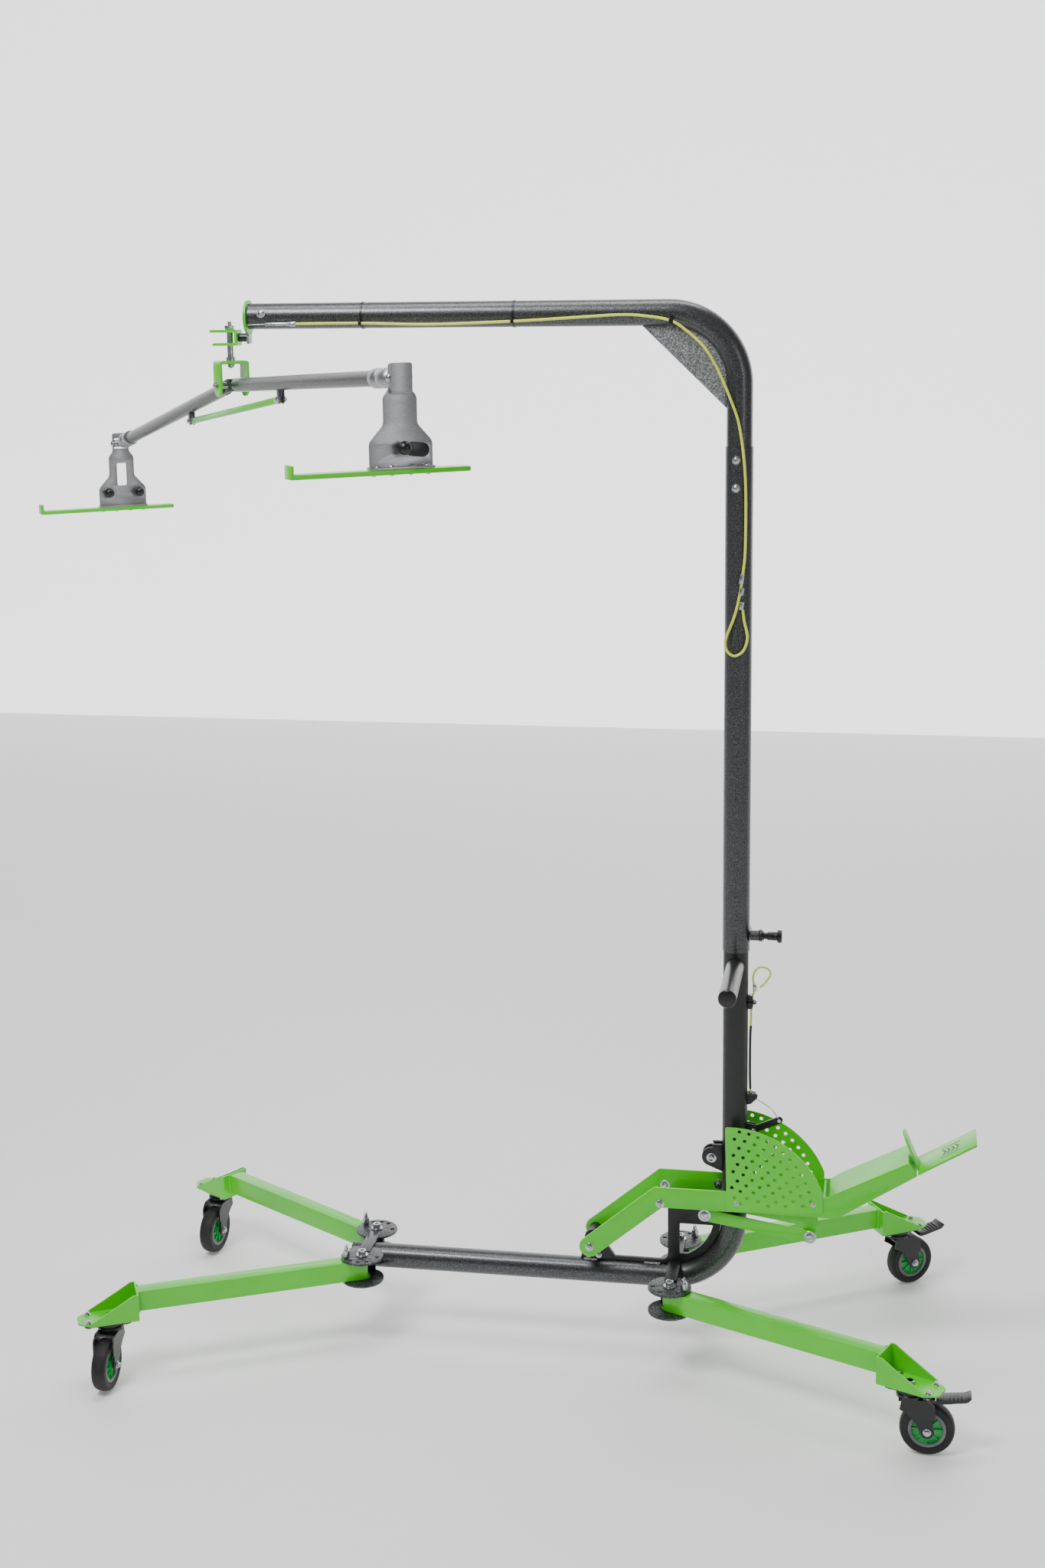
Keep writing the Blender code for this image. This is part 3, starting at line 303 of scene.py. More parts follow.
# --- outlines ---------------------------------------------------------------------------
def polar(centre, radius, degrees):
    angle = math.radians(degrees)
    return centre[0] + radius * math.cos(angle), centre[1] + radius * math.sin(angle)


def arc(centre, radius, start, end, steps):
    return [polar(centre, radius, start + (end - start) * step / steps) for step in range(steps + 1)]


def circle(centre, radius, steps=32):
    return arc(centre, radius, 0.0, 360.0, steps)[:-1]


def strip(start, end, half_width, steps=14):
    heading = math.degrees(math.atan2(end[1] - start[1], end[0] - start[0]))
    return (arc(start, half_width, heading + 90, heading + 270, steps)
            + arc(end, half_width, heading - 90, heading + 90, steps))


def bulge(start, end, radius, steps):
    first, last = Vector(start), Vector(end)
    chord = last - first
    rise = math.sqrt(radius ** 2 - (chord.length / 2) ** 2)
    centre = (first + last) / 2 + Vector((-chord.y, chord.x)).normalized() * rise
    begin = math.degrees(math.atan2(first.y - centre.y, first.x - centre.x))
    finish = math.degrees(math.atan2(last.y - centre.y, last.x - centre.x))
    return arc(centre, radius, begin, finish, steps)


def rounded(corners, radius, steps=5):
    """A closed outline with every corner rounded."""
    points = []
    count = len(corners)
    for index, corner in enumerate(corners):
        here = Vector(corner)
        back = (Vector(corners[index - 1]) - here)
        ahead = (Vector(corners[(index + 1) % count]) - here)
        reach = min(radius, back.length * 0.45, ahead.length * 0.45)
        start, end = here + back.normalized() * reach, here + ahead.normalized() * reach
        for step in range(steps + 1):
            t = step / steps
            points.append(tuple(start * (1 - t) ** 2 + here * 2 * t * (1 - t) + end * t ** 2))
    return points


# --- solids -----------------------------------------------------------------------------
def add(data):
    piece = bpy.data.objects.new("piece", data)
    bpy.context.scene.collection.objects.link(piece)
    return piece


def from_bmesh(bm):
    mesh = bpy.data.meshes.new("piece")
    bm.to_mesh(mesh)
    bm.free()
    return add(mesh)


def bake(piece, place=Matrix()):
    """The evaluated shape as a plain welded mesh, moved to its place."""
    bpy.context.view_layer.update()
    graph = bpy.context.evaluated_depsgraph_get()
    mesh = bpy.data.meshes.new_from_object(piece.evaluated_get(graph))
    bm = bmesh.new()
    bm.from_mesh(mesh)
    bmesh.ops.remove_doubles(bm, verts=bm.verts, dist=0.000002)
    bmesh.ops.recalc_face_normals(bm, faces=bm.faces)
    bm.transform(place)
    bm.to_mesh(mesh)
    bm.free()
    bpy.data.objects.remove(piece, do_unlink=True)
    return add(mesh)


def block(low, high):
    low, high = Vector(low), Vector(high)
    bm = bmesh.new()
    bmesh.ops.create_cube(bm, size=1.0)
    bmesh.ops.scale(bm, vec=high - low, verts=bm.verts)
    bmesh.ops.translate(bm, vec=(low + high) / 2, verts=bm.verts)
    return from_bmesh(bm)


def rod(start, end, radius, sides=32, end_radius=None):
    start, end = Vector(start), Vector(end)
    turn = (end - start).to_track_quat("Z", "Y").to_matrix().to_4x4()
    place = Matrix.Translation((start + end) / 2) @ turn
    bm = bmesh.new()
    last = radius if end_radius is None else end_radius
    bmesh.ops.create_cone(bm, cap_ends=True, segments=sides, radius1=radius, radius2=last,
                          depth=(end - start).length, matrix=place)
    return from_bmesh(bm)


def ball(centre, radius, squash=1.0):
    bm = bmesh.new()
    bmesh.ops.create_uvsphere(bm, u_segments=32, v_segments=20, radius=radius)
    bmesh.ops.scale(bm, vec=(1, 1, squash), verts=bm.verts)
    bmesh.ops.translate(bm, vec=centre, verts=bm.verts)
    return from_bmesh(bm)


def plate(outline, thickness, place=Matrix(), holes=()):
    curve = bpy.data.curves.new("outline", "CURVE")
    curve.dimensions = "2D"
    curve.fill_mode = "BOTH"
    curve.extrude = thickness / 2
    for ring in (outline, *holes):
        spline = curve.splines.new("POLY")
        spline.points.add(len(ring) - 1)
        for point, spot in zip(spline.points, ring):
            point.co = (spot[0], spot[1], 0.0, 1.0)
        spline.use_cyclic_u = True
    return bake(add(curve), place)


def bar(path, radius, sides=TUBE_SIDES, closed=False):
    curve = bpy.data.curves.new("path", "CURVE")
    curve.dimensions = "3D"
    curve.bevel_depth = radius
    curve.bevel_resolution = sides // 2 - 2
    curve.use_fill_caps = not closed
    spline = curve.splines.new("POLY")
    spline.points.add(len(path) - 1)
    for point, spot in zip(spline.points, path):
        point.co = (*spot, 1.0)
    spline.use_cyclic_u = closed
    return bake(add(curve))


def turned(profile, place=Matrix(), steps=64):
    """A closed (radius, height) profile turned about Z."""
    mesh = bpy.data.meshes.new("profile")
    points = [(radius, 0.0, height) for radius, height in profile]
    mesh.from_pydata(points, [(index, (index + 1) % len(points)) for index in range(len(points))], [])
    piece = add(mesh)
    screw = piece.modifiers.new("turn", "SCREW")
    screw.steps = steps
    screw.render_steps = steps
    screw.use_merge_vertices = True
    screw.merge_threshold = 0.00001
    return bake(piece, place)


def built(base, joined=(), cut=()):
    for operation, tools in (("UNION", joined), ("DIFFERENCE", cut)):
        for tool in tools:
            step = base.modifiers.new(operation.lower(), "BOOLEAN")
            step.operation = operation
            step.solver = "EXACT"
            step.object = tool
    made = bake(base)
    for tool in (*joined, *cut):
        bpy.data.objects.remove(tool, do_unlink=True)
    return made


def together(*pieces):
    """Several pieces as one mesh of separate shells."""
    bm = bmesh.new()
    for piece in pieces:
        bm.from_mesh(piece.data)
        bpy.data.objects.remove(piece, do_unlink=True)
    return from_bmesh(bm)


def eased(piece, width=0.0008, segments=2):
    """The piece with its sharp edges rounded over."""
    bevel = piece.modifiers.new("eased edges", "BEVEL")
    bevel.width = width
    bevel.segments = segments
    bevel.limit_method = "ANGLE"
    bevel.angle_limit = math.radians(35)
    bevel.use_clamp_overlap = True
    return bake(piece)


def tube(path, radius, wall, sides=TUBE_SIDES):
    first, last = Vector(path[0]), Vector(path[-1])
    before = first + (first - Vector(path[1])).normalized() * 0.002
    after = last + (last - Vector(path[-2])).normalized() * 0.002
    return built(bar(path, radius, sides), cut=[bar([before, *path[1:-1], after], radius - wall, sides)])


def bent(start, corner, end, radius):
    corner = Vector(corner)
    back = (Vector(start) - corner).normalized()
    ahead = (Vector(end) - corner).normalized()
    centre = corner + (back + ahead) * radius
    path = [Vector(start)]
    for step in range(BEND_STEPS + 1):
        angle = math.radians(90 * step / BEND_STEPS)
        path.append(centre - (ahead * math.cos(angle) + back * math.sin(angle)) * radius)
    path.append(Vector(end))
    return path


def smooth_path(points, per_span=6):
    path = []
    count = len(points)
    for index in range(count - 1):
        p0, p1 = Vector(points[max(index - 1, 0)]), Vector(points[index])
        p2, p3 = Vector(points[index + 1]), Vector(points[min(index + 2, count - 1)])
        for step in range(per_span):
            t = step / per_span
            path.append(0.5 * (2 * p1 + (p2 - p0) * t + (2 * p0 - 5 * p1 + 4 * p2 - p3) * t ** 2
                               + (3 * p1 - p0 - 3 * p2 + p3) * t ** 3))
    path.append(Vector(points[-1]))
    return path


def side_place(y):
    return Matrix.Translation((0.0, y, 0.0)) @ SIDE


def moved(piece, place):
    piece.data.transform(place)
    return piece


def cross_rod(x, reach, z, radius, sides=32):
    """A rod straight across, as far to one side as to the other."""
    return rod((x, -reach, z), (x, reach, z), radius, sides)


def pair(outline, thickness, y, width, holes=()):
    """The same eased plate on each side."""
    return [eased(plate(outline, thickness, side_place(side * y), holes), width) for side in (-1, 1)]


def both_sides(x, y, z):
    """A spot on each side, facing outward."""
    return [((x, side * y, z), (0, side, 0)) for side in (-1, 1)]


def done(piece, name, finish, body, *nodes):
    """Name a piece, give it its finish, and ride it on its body in place of any nodes."""
    piece.data.transform(Matrix.Translation(AXIS))
    piece.name = name
    piece.data.name = name
    piece.data.materials.clear()
    piece.data.materials.append(finish.material)
    piece.data.shade_smooth()
    piece.data.set_sharp_from_angle(angle=math.radians(32))
    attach(piece, body)
    if nodes:
        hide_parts(*nodes)
    return piece


# --- repeated small pieces --------------------------------------------------------------
def copies_tree():
    """Places a shape at each point, turned as the point's own attribute says."""
    tree = bpy.data.node_groups.new("copies_at_points", "GeometryNodeTree")
    face = tree.interface
    face.new_socket("Geometry", in_out="INPUT", socket_type="NodeSocketGeometry")
    face.new_socket("Shape", in_out="INPUT", socket_type="NodeSocketObject")
    face.new_socket("Size", in_out="INPUT", socket_type="NodeSocketFloat")
    face.new_socket("Finish", in_out="INPUT", socket_type="NodeSocketMaterial")
    face.new_socket("Geometry", in_out="OUTPUT", socket_type="NodeSocketGeometry")
    names = {"start": "NodeGroupInput", "shape": "GeometryNodeObjectInfo",
             "turn": "GeometryNodeInputNamedAttribute", "euler": "FunctionNodeEulerToRotation",
             "place": "GeometryNodeInstanceOnPoints", "real": "GeometryNodeRealizeInstances",
             "paint": "GeometryNodeSetMaterial", "end": "NodeGroupOutput"}
    nodes = {key: tree.nodes.new(kind) for key, kind in names.items()}
    nodes["turn"].data_type = "FLOAT_VECTOR"
    nodes["turn"].inputs["Name"].default_value = "turn"
    link = tree.links.new
    link(nodes["start"].outputs["Geometry"], nodes["place"].inputs["Points"])
    link(nodes["start"].outputs["Shape"], nodes["shape"].inputs["Object"])
    link(nodes["shape"].outputs["Geometry"], nodes["place"].inputs["Instance"])
    link(nodes["turn"].outputs["Attribute"], nodes["euler"].inputs["Euler"])
    link(nodes["euler"].outputs["Rotation"], nodes["place"].inputs["Rotation"])
    link(nodes["start"].outputs["Size"], nodes["place"].inputs["Scale"])
    link(nodes["place"].outputs["Instances"], nodes["real"].inputs["Geometry"])
    link(nodes["real"].outputs["Geometry"], nodes["paint"].inputs["Geometry"])
    link(nodes["start"].outputs["Finish"], nodes["paint"].inputs["Material"])
    link(nodes["paint"].outputs["Geometry"], nodes["end"].inputs["Geometry"])
    return tree


COPIES = copies_tree()


def copies(shape, spots, size=1.0, finish=ZINC):
    """The shape, drawn pointing up at the origin, at every (place, direction) spot."""
    mesh = bpy.data.meshes.new("spots")
    mesh.from_pydata([tuple(spot) for spot, _ in spots], [], [])
    turns = mesh.attributes.new("turn", "FLOAT_VECTOR", "POINT")
    for index, (_, direction) in enumerate(spots):
        turns.data[index].vector = tuple(Vector(direction).to_track_quat("Z", "Y").to_euler())
    piece = add(mesh)
    step = piece.modifiers.new("copies", "NODES")
    step.node_group = COPIES
    values = {"Shape": shape, "Size": size, "Finish": finish.material}
    for socket in COPIES.interface.items_tree:
        if socket.in_out == "INPUT" and socket.name in values:
            step[socket.identifier] = values[socket.name]
    return bake(piece)


def hex_head():
    """A washer, a hexagon head and the thread's end, seated at the origin."""
    washer = turned([(CORE_R, 0.0016), (0.0098, 0.0016), (0.0102, 0.0012), (0.0102, 0.0), (CORE_R, 0.0)],
                    steps=32)
    head = eased(rod((0, 0, 0.0016), (0, 0, 0.0078), 0.0078, 6), 0.0006)
    stub = eased(rod((0, 0, 0.007), (0, 0, 0.0096), 0.0040, 20), 0.0005)
    return together(washer, head, stub)


def socket_head():
    """A washer and a cap head with a hexagon socket."""
    washer = turned([(CORE_R, 0.0022), (0.0118, 0.0022), (0.0122, 0.0017), (0.0122, 0.0), (CORE_R, 0.0)],
                    steps=32)
    head = built(rod((0, 0, 0.0022), (0, 0, 0.0112), 0.0078, 32),
                 cut=[rod((0, 0, 0.006), (0, 0, 0.013), 0.0042, 6)])
    return together(washer, eased(head, 0.0006))


def dome_head():
    """A button head with a small socket, over a thin washer."""
    profile = [(CORE_R, 0.0052), (0.0030, 0.0050), (0.0056, 0.0040), (0.0072, 0.0022), (0.0076, 0.0012),
               (0.0092, 0.0012), (0.0095, 0.0009), (0.0095, 0.0), (CORE_R, 0.0)]
    cap = turned(profile, steps=32)
    return built(cap, cut=[rod((0, 0, 0.0028), (0, 0, 0.008), 0.0026, 6)])


def low_head():
    """A wide washer under a thin hexagon head."""
    washer = turned([(CORE_R, 0.0014), (0.0122, 0.0014), (0.0126, 0.0010), (0.0126, 0.0), (CORE_R, 0.0)],
                    steps=32)
    return together(washer, eased(rod((0, 0, 0.0014), (0, 0, 0.0056), 0.0082, 6), 0.0006))


def bead():
    return ball((0, 0, 0), 0.0028, 0.7)


TEMPLATES = hex_head(), socket_head(), dome_head(), low_head(), bead()
HEX, SOCKET, DOME, LOW, BEAD = TEMPLATES


def weld(start, end, finish, spacing=0.0016):
    """A rippled weld bead between two points."""
    start, end = Vector(start), Vector(end)
    count = max(3, int((end - start).length / spacing))
    along = (end - start).normalized()
    spots = [(start.lerp(end, step / count), along) for step in range(count + 1)]
    return copies(BEAD, spots, 1.0, finish)


# --- base -------------------------------------------------------------------------------
def strap_low_z(x):
    into_bend = max(x + STRAP_HALF + BEND_R, 0.0)
    inner_r = (BEND_R - TUBE_R) * math.cos(math.radians(45 / 8))
    rise = 0.0 if into_bend == 0 else BEND_R - TUBE_R - math.sqrt(inner_r ** 2 - into_bend ** 2)
    return BASE_Z + TUBE_R + rise + GAP


def make_base():
    path = bent((-BASE_REACH + 0.003, 0, BASE_Z), (0, 0, BASE_Z), (0, 0, MAST_FOOT_Z), BEND_R)
    done(tube(path, TUBE_R, TUBE_WALL), "base_tube_coated", SILVER, "base", "base_tube")
    turn = Matrix.Translation((-BASE_REACH, 0, BASE_Z)) @ ALONG_X
    lid = turned([(CORE_R, 0.0), (0.0195, 0.0), (0.0226, 0.0006), (0.0238, 0.0022), (0.0238, 0.0030),
                  (0.0204, 0.0032), (0.0204, 0.0140), (CORE_R, 0.0140)], turn)
    done(lid, "base_tube_plug", PLASTIC, "base", "base_end_cap")

    floor_z = BASE_Z + TUBE_R + GAP
    centre = (-BEND_R, BASE_Z + BEND_R)
    inner_r = BEND_R - TUBE_R - GAP
    outline = [(-0.304, floor_z), *arc(centre, inner_r, -90, 0, 24)]
    outline += [(centre[0] + inner_r, 0.330), (-0.124, 0.330), (-0.130, 0.324)]
    outline += arc((-0.142, floor_z + 0.020), 0.012, 0, -90, 6) + [(-0.235, floor_z + 0.008)]
    outline += arc(LEVER_PIVOT, 0.016, 35, 180, 16)
    window_r = inner_r - 0.0147
    low = math.degrees(math.asin((floor_z + 0.0236 - centre[1]) / window_r))
    high = math.degrees(math.asin((0.273 - centre[1]) / window_r))
    window = rounded([(-0.107, floor_z + 0.0236), *arc(centre, window_r, low, high, 12), (-0.107, 0.273)],
                     0.003)
    holes = [window, circle(LEVER_PIVOT, 0.0064), circle(LINK_PIVOT, 0.0064)]
    slot = block((REAR_X - STRAP_HALF - GAP, -0.010, floor_z - 0.010),
                 (REAR_X + STRAP_HALF + GAP, 0.010, strap_low_z(REAR_X) + PLATE_T + GAP))
    gusset = built(plate(outline, 0.008, SIDE, holes), cut=[slot])
    done(eased(gusset, 0.0007), "base_gusset_plate", BLACK, "base", "base_gusset")
    beads = []
    for left, right in ((-0.296, -0.272), (-0.176, -0.146)):
        for side in (-1, 1):
            y = side * 0.0055
            beads.append(weld((left, y, floor_z - 0.0003), (right, y, floor_z - 0.0003), PALE))
    done(together(*beads), "gusset_welds", PALE, "base")
    studs = [((-0.288, -0.0043, BASE_Z + TUBE_R + 0.009), (0, -1, 0)),
             ((-0.268, -0.0043, BASE_Z + TUBE_R + 0.009), (0, -1, 0)),
             ((-0.055, -0.0043, 0.308), (0, -1, 0))]
    done(copies(HEX, studs, 0.62), "gusset_bolts", ZINC, "base")

    mast_path = [(0, 0, MAST_FOOT_Z + GAP), (0, 0, MAST_TOP_Z)]
    cross = cross_rod(0, 0.030, HANDLE_Z, HANDLE_R + GAP, 48)
    mast = built(tube(mast_path, TUBE_R, TUBE_WALL), cut=[cross])
    done(mast, "mast_tube_coated", BLACK, "base", "mast_tube")
    wall_x = TUBE_R - 0.0015
    lug = [(-wall_x, 0.390), (-wall_x, 0.445), (-0.044, 0.4445), *arc((-0.044, 0.419), 0.019, 75, 235, 14)]
    lugs = pair(lug, 0.006, 0.009, 0.001)
    roller = turned([(0.003, 0.0055), (0.011, 0.0055), (0.013, 0.0035), (0.013, -0.0035),
                     (0.011, -0.0055), (0.003, -0.0055)],
                    Matrix.Translation((ROLLER_X, 0, ROLLER_Z)) @ SIDE, 32)
    cheek = [(wall_x, 0.462), (0.040, 0.464), (0.046, 0.476), (0.040, 0.488), (wall_x, 0.490)]
    cheeks = pair(rounded(cheek, 0.003), 0.003, 0.0045, 0.0006)
    tabs = []
    for tab_z in (0.733, 0.548):
        tab = rounded([(wall_x, -0.009), (0.036, -0.009), (0.040, -0.005), (0.040, 0.005), (0.036, 0.009),
                       (wall_x, 0.009)], 0.002)
        tabs.append(eased(plate(tab, 0.003, Matrix.Translation((0, 0, tab_z + 0.0015)),
                                [circle((0.030, 0), 0.0032)]), 0.0005))
    clamp = rounded([(wall_x, 0.722), (0.0325, 0.722), (0.0345, 0.735), (0.0325, 0.748), (wall_x, 0.748)],
                    0.003)
    hook = rounded([(wall_x, 0.5505), (0.034, 0.5505), (0.044, 0.547), (0.043, 0.541), (0.031, 0.529),
                    (wall_x, 0.527)], 0.002)
    grips = [eased(plate(clamp, 0.011, SIDE), 0.0012), eased(plate(hook, 0.007, SIDE), 0.0008)]
    done(together(*lugs, roller, *cheeks, *tabs, *grips), "mast_brackets", BLACK, "base")
    spots = both_sides(ROLLER_X, 0.0122, ROLLER_Z) + both_sides(RELEASE_PIVOT[0], 0.0062, RELEASE_PIVOT[1])
    pins = [cross_rod(RELEASE_PIVOT[0], 0.010, RELEASE_PIVOT[1], 0.0029),
            cross_rod(ROLLER_X, 0.0125, ROLLER_Z, 0.0042)]
    done(together(copies(SOCKET, spots[:2], 0.8), copies(DOME, spots[2:], 0.5), *pins),
         "mast_bracket_bolts", ZINC, "base")

    grip = tube([(0, -HANDLE_REACH + 0.004, HANDLE_Z), (0, HANDLE_REACH - 0.004, HANDLE_Z)], HANDLE_R,
                0.002, 48)
    done(grip, "push_bar", SILVER, "base", "push_handle")
    caps = []
    for side in (-1, 1):
        turn = Matrix.Translation((0, side * HANDLE_REACH,
                                   HANDLE_Z)) @ Matrix.Rotation(side * math.radians(-90), 4, "X")
        caps.append(turned([(CORE_R, 0.0), (0.0120, -0.0002), (0.0155, -0.0012), (0.0170, -0.0035),
                            (0.0170, -0.0080),
                            (0.0146, -0.0082), (0.0146, -0.024), (CORE_R, -0.024)], turn, 48))
    done(together(*caps), "push_bar_plugs", PLASTIC, "base")


def index_plate(x, y, low_z, holes):
    rings = [circle((x, y), 0.0064)]
    rings += [circle(polar((x, y), INDEX_PITCH_R, angle), 0.0044, 20) for angle in holes]
    return plate(circle((x, y), INDEX_R, 72), PLATE_T, Matrix.Translation((0, 0, low_z + PLATE_T / 2)), rings)


def make_yoke(node, x, y, sides, strap_finish):
    top_z = INDEX_TOP_Z - PLATE_T
    tube_top = strap_low_z(x)
    tube_low = BASE_Z - TUBE_R - GAP
    web_y = y - 0.028
    plates, webs = [], []
    for leg in sides:
        _, leg_y, rest, sign = LEGS[leg]
        spread = [rest + sign * INDEX_STEP * step for step in range(4)] + [rest + sign * STOW_SWING]
        plates.append(eased(index_plate(x, leg_y, top_z, spread), 0.0006))
        plates.append(eased(index_plate(x, leg_y, INDEX_LOW_Z, []), 0.0006))
        low, high = sorted((math.copysign(web_y, leg_y) - 0.002, math.copysign(web_y, leg_y) + 0.002))
        webs.append(eased(block((x - 0.020, low, INDEX_LOW_Z + PLATE_T), (x + 0.020, high, top_z)), 0.0006))
    reach = web_y + 0.012
    over = block((x - STRAP_HALF, -reach, tube_top), (x + STRAP_HALF, reach, tube_top + PLATE_T))
    under = block((x - STRAP_HALF, -reach, tube_low - PLATE_T), (x + STRAP_HALF, reach, tube_low))
    straps = [eased(over, 0.0008), eased(under, 0.0008)]
    for side in (-1, 1):
        foot_y = side * (web_y - 0.004)
        low, high = sorted((foot_y - 0.002, foot_y + 0.002))
        straps.append(eased(block((x - STRAP_HALF, low, tube_low), (x + STRAP_HALF, high, tube_top)), 0.0008))
    done(together(*plates), node + "_index_plates", GREY, "base", node)
    done(together(*webs), node + "_webs", BLACK, "base")
    done(together(*straps), node + "_straps", strap_finish, "base")


def make_pivot_hardware():
    heads, nuts, shanks = [], [], []
    for leg, (x, y, rest, _) in LEGS.items():
        heads.append(((x, y, INDEX_TOP_Z + GAP), (0, 0, 1)))
        nuts.append(((x, y, INDEX_LOW_Z - GAP), (0, 0, -1)))
        shanks.append(rod((x, y, INDEX_LOW_Z - 0.002), (x, y, INDEX_TOP_Z + 0.002), BOLT_R))
        for spacer_z in (INDEX_LOW_Z + PLATE_T + 0.0007, INDEX_TOP_Z - PLATE_T - 0.0007):
            shanks.append(rod((x, y, spacer_z - 0.0005), (x, y, spacer_z + 0.0005), 0.0125))
        pin_x, pin_y = polar((x, y), INDEX_PITCH_R, rest)
        low_z = LEG_Z + LEG_H / 2 + 2 * GAP
        top_z = INDEX_TOP_Z + 0.0240
        shaft = turned([(CORE_R, top_z), (0.0028, top_z), (0.0040, top_z - 0.0012),
                        (0.0040, INDEX_TOP_Z + 0.016),
                        (0.0066, INDEX_TOP_Z + 0.0155), (0.0068, INDEX_TOP_Z + 0.010),
                        (0.0066, INDEX_TOP_Z + 0.0012),
                        (0.0040, INDEX_TOP_Z + 0.0008), (0.0040, low_z + 0.001), (0.0032, low_z),
                        (CORE_R, low_z)],
                       Matrix.Translation((pin_x, pin_y, 0)), 32)
        ring = [(pin_x, pin_y + 0.0085 * math.cos(a), INDEX_TOP_Z + 0.0205 + 0.0058 * math.sin(a))
                for a in (math.tau * step / 28 for step in range(28))]
        done(together(shaft, bar(ring, 0.0009, 10, True)), "index_pin_with_ring_" + leg, ZINC,
             "pin_" + leg, "index_pin_" + leg)
    bolts = together(copies(SOCKET, heads), copies(HEX, nuts), *shanks)
    done(bolts, "leg_pivot_bolts", ZINC, "base", *["pivot_bolt_" + leg for leg in LEGS])


# --- legs and casters -------------------------------------------------------------------
def leg_shape():
    half = LEG_W / 2
    outline = arc((0, 0), half, 90, 270, 24) + [(LEG_LENGTH + 0.0005, -half), (LEG_LENGTH + 0.0005, half)]
    body = plate(outline, LEG_H, Matrix.Translation((0, 0, LEG_Z)))
    hollow = block((-0.030, -half + 0.0025, LEG_Z - LEG_H / 2 + 0.0025),
                   (LEG_LENGTH - 0.003, half - 0.0025, LEG_Z + LEG_H / 2 - 0.0025))
    pivot = rod((0, 0, LEG_Z - 0.030), (0, 0, LEG_Z + 0.030), 0.0064)
    return eased(built(body, cut=[hollow, pivot]), 0.0022, 3)


def bracket_shape():
    wide = BRACKET_W / 2
    nose = LEG_LENGTH + BRACKET_L
    corners = [(LEG_LENGTH, -wide), (nose - 0.024, -wide), (nose, -wide + 0.016),
               (nose, wide - 0.016), (nose - 0.024, wide), (LEG_LENGTH, wide)]
    floor = plate(rounded(corners, 0.006), BRACKET_T, Matrix.Translation((0, 0, BRACKET_Z + BRACKET_T / 2)),
                  [circle((SWIVEL_REACH, 0), 0.0064)])
    wall_top = LEG_Z + LEG_H / 2 + 0.001
    back = block((LEG_LENGTH, -wide, BRACKET_Z + 0.001), (LEG_LENGTH + BRACKET_T, wide, wall_top))
    cheek = [(LEG_LENGTH, BRACKET_Z), (nose - 0.022, BRACKET_Z), (nose - 0.022, BRACKET_Z + 0.005),
             (LEG_LENGTH + 0.030, wall_top - 0.012), (LEG_LENGTH + 0.010, wall_top), (LEG_LENGTH, wall_top)]
    cheeks = [plate(cheek, BRACKET_T, side_place(side * (wide - BRACKET_T / 2))) for side in (-1, 1)]
    return eased(built(floor, [back, *cheeks]), 0.0009)


def fork_shape():
    cheek_y = TYRE_W / 2 + 0.0055
    outline = rounded([(-0.020, CROWN_Z + 0.004), (0.034, CROWN_Z + 0.004), (0.046, CROWN_Z - 0.008),
                       (0.0455, 0.070)], 0.006)
    outline += arc((TRAIL, WHEEL_R), 0.0125, 10, -155, 16)
    outline += [(0.0150, 0.058), (0.0060, 0.073), (-0.0060, 0.084), (-0.018, 0.091)]
    cheeks = [plate(outline, 0.003, side_place(side * cheek_y)) for side in (-1, 1)]
    crown = block((-0.020, -cheek_y - 0.0015, CROWN_Z), (0.034, cheek_y + 0.0015, CROWN_Z + 0.004))
    race = turned([(CORE_R, FORK_TOP_Z), (0.0195, FORK_TOP_Z), (0.0220, FORK_TOP_Z - 0.002),
                   (0.0225, FORK_TOP_Z - 0.007),
                   (0.0250, FORK_TOP_Z - 0.010), (0.0250, CROWN_Z + 0.0035), (CORE_R, CROWN_Z + 0.0035)],
                   steps=48)
    return together(eased(built(crown, cheeks), 0.0009), race)


def tyre_shape():
    half = TYRE_W / 2
    profile = [(HUB_R + GAP, half - 0.0025), (HUB_R + 0.003, half - 0.0008), (WHEEL_R - 0.006, half)]
    for step in range(13):
        angle = math.radians(90 - 180 * step / 12)
        profile.append((WHEEL_R - 0.006 + 0.006 * math.cos(angle) ** 0.7, half * math.sin(angle)))
    profile += [(WHEEL_R - 0.006, -half), (HUB_R + 0.003, -half + 0.0008), (HUB_R + GAP, -half + 0.0025)]
    return turned(profile, SIDE, 96)


def hub_parts():
    """The dished green centre, the grey rim rings and the bearing caps."""
    face, dish = 0.0125, 0.0065
    centre = turned([(0.0064, face + 0.001), (0.0105, face + 0.001), (0.0115, dish + 0.001), (0.0140, dish),
                     (0.0250, dish - 0.0008), (0.0275, dish + 0.001), (0.0282, face - 0.002),
                     (0.0282, -face + 0.002), (0.0275, -dish - 0.001), (0.0250, -dish + 0.0008),
                     (0.0140, -dish), (0.0115, -dish - 0.001), (0.0105, -face - 0.001),
                     (0.0064, -face - 0.001)], SIDE)
    ribs = []
    for step in range(8):
        rib = block((0.0105, -face + 0.003, -0.0009), (0.0278, face - 0.003, 0.0009))
        ribs.append(moved(eased(rib, 0.0004), Matrix.Rotation(math.tau * step / 8, 4, "Y")))
    rim = turned([(0.0283, face - 0.001), (0.0300, face), (HUB_R - 0.0008, face), (HUB_R, face - 0.001),
                  (HUB_R, -face + 0.001), (HUB_R - 0.0008, -face), (0.0300, -face),
                  (0.0283, -face + 0.001)], SIDE, 96)
    return together(centre, *ribs), rim


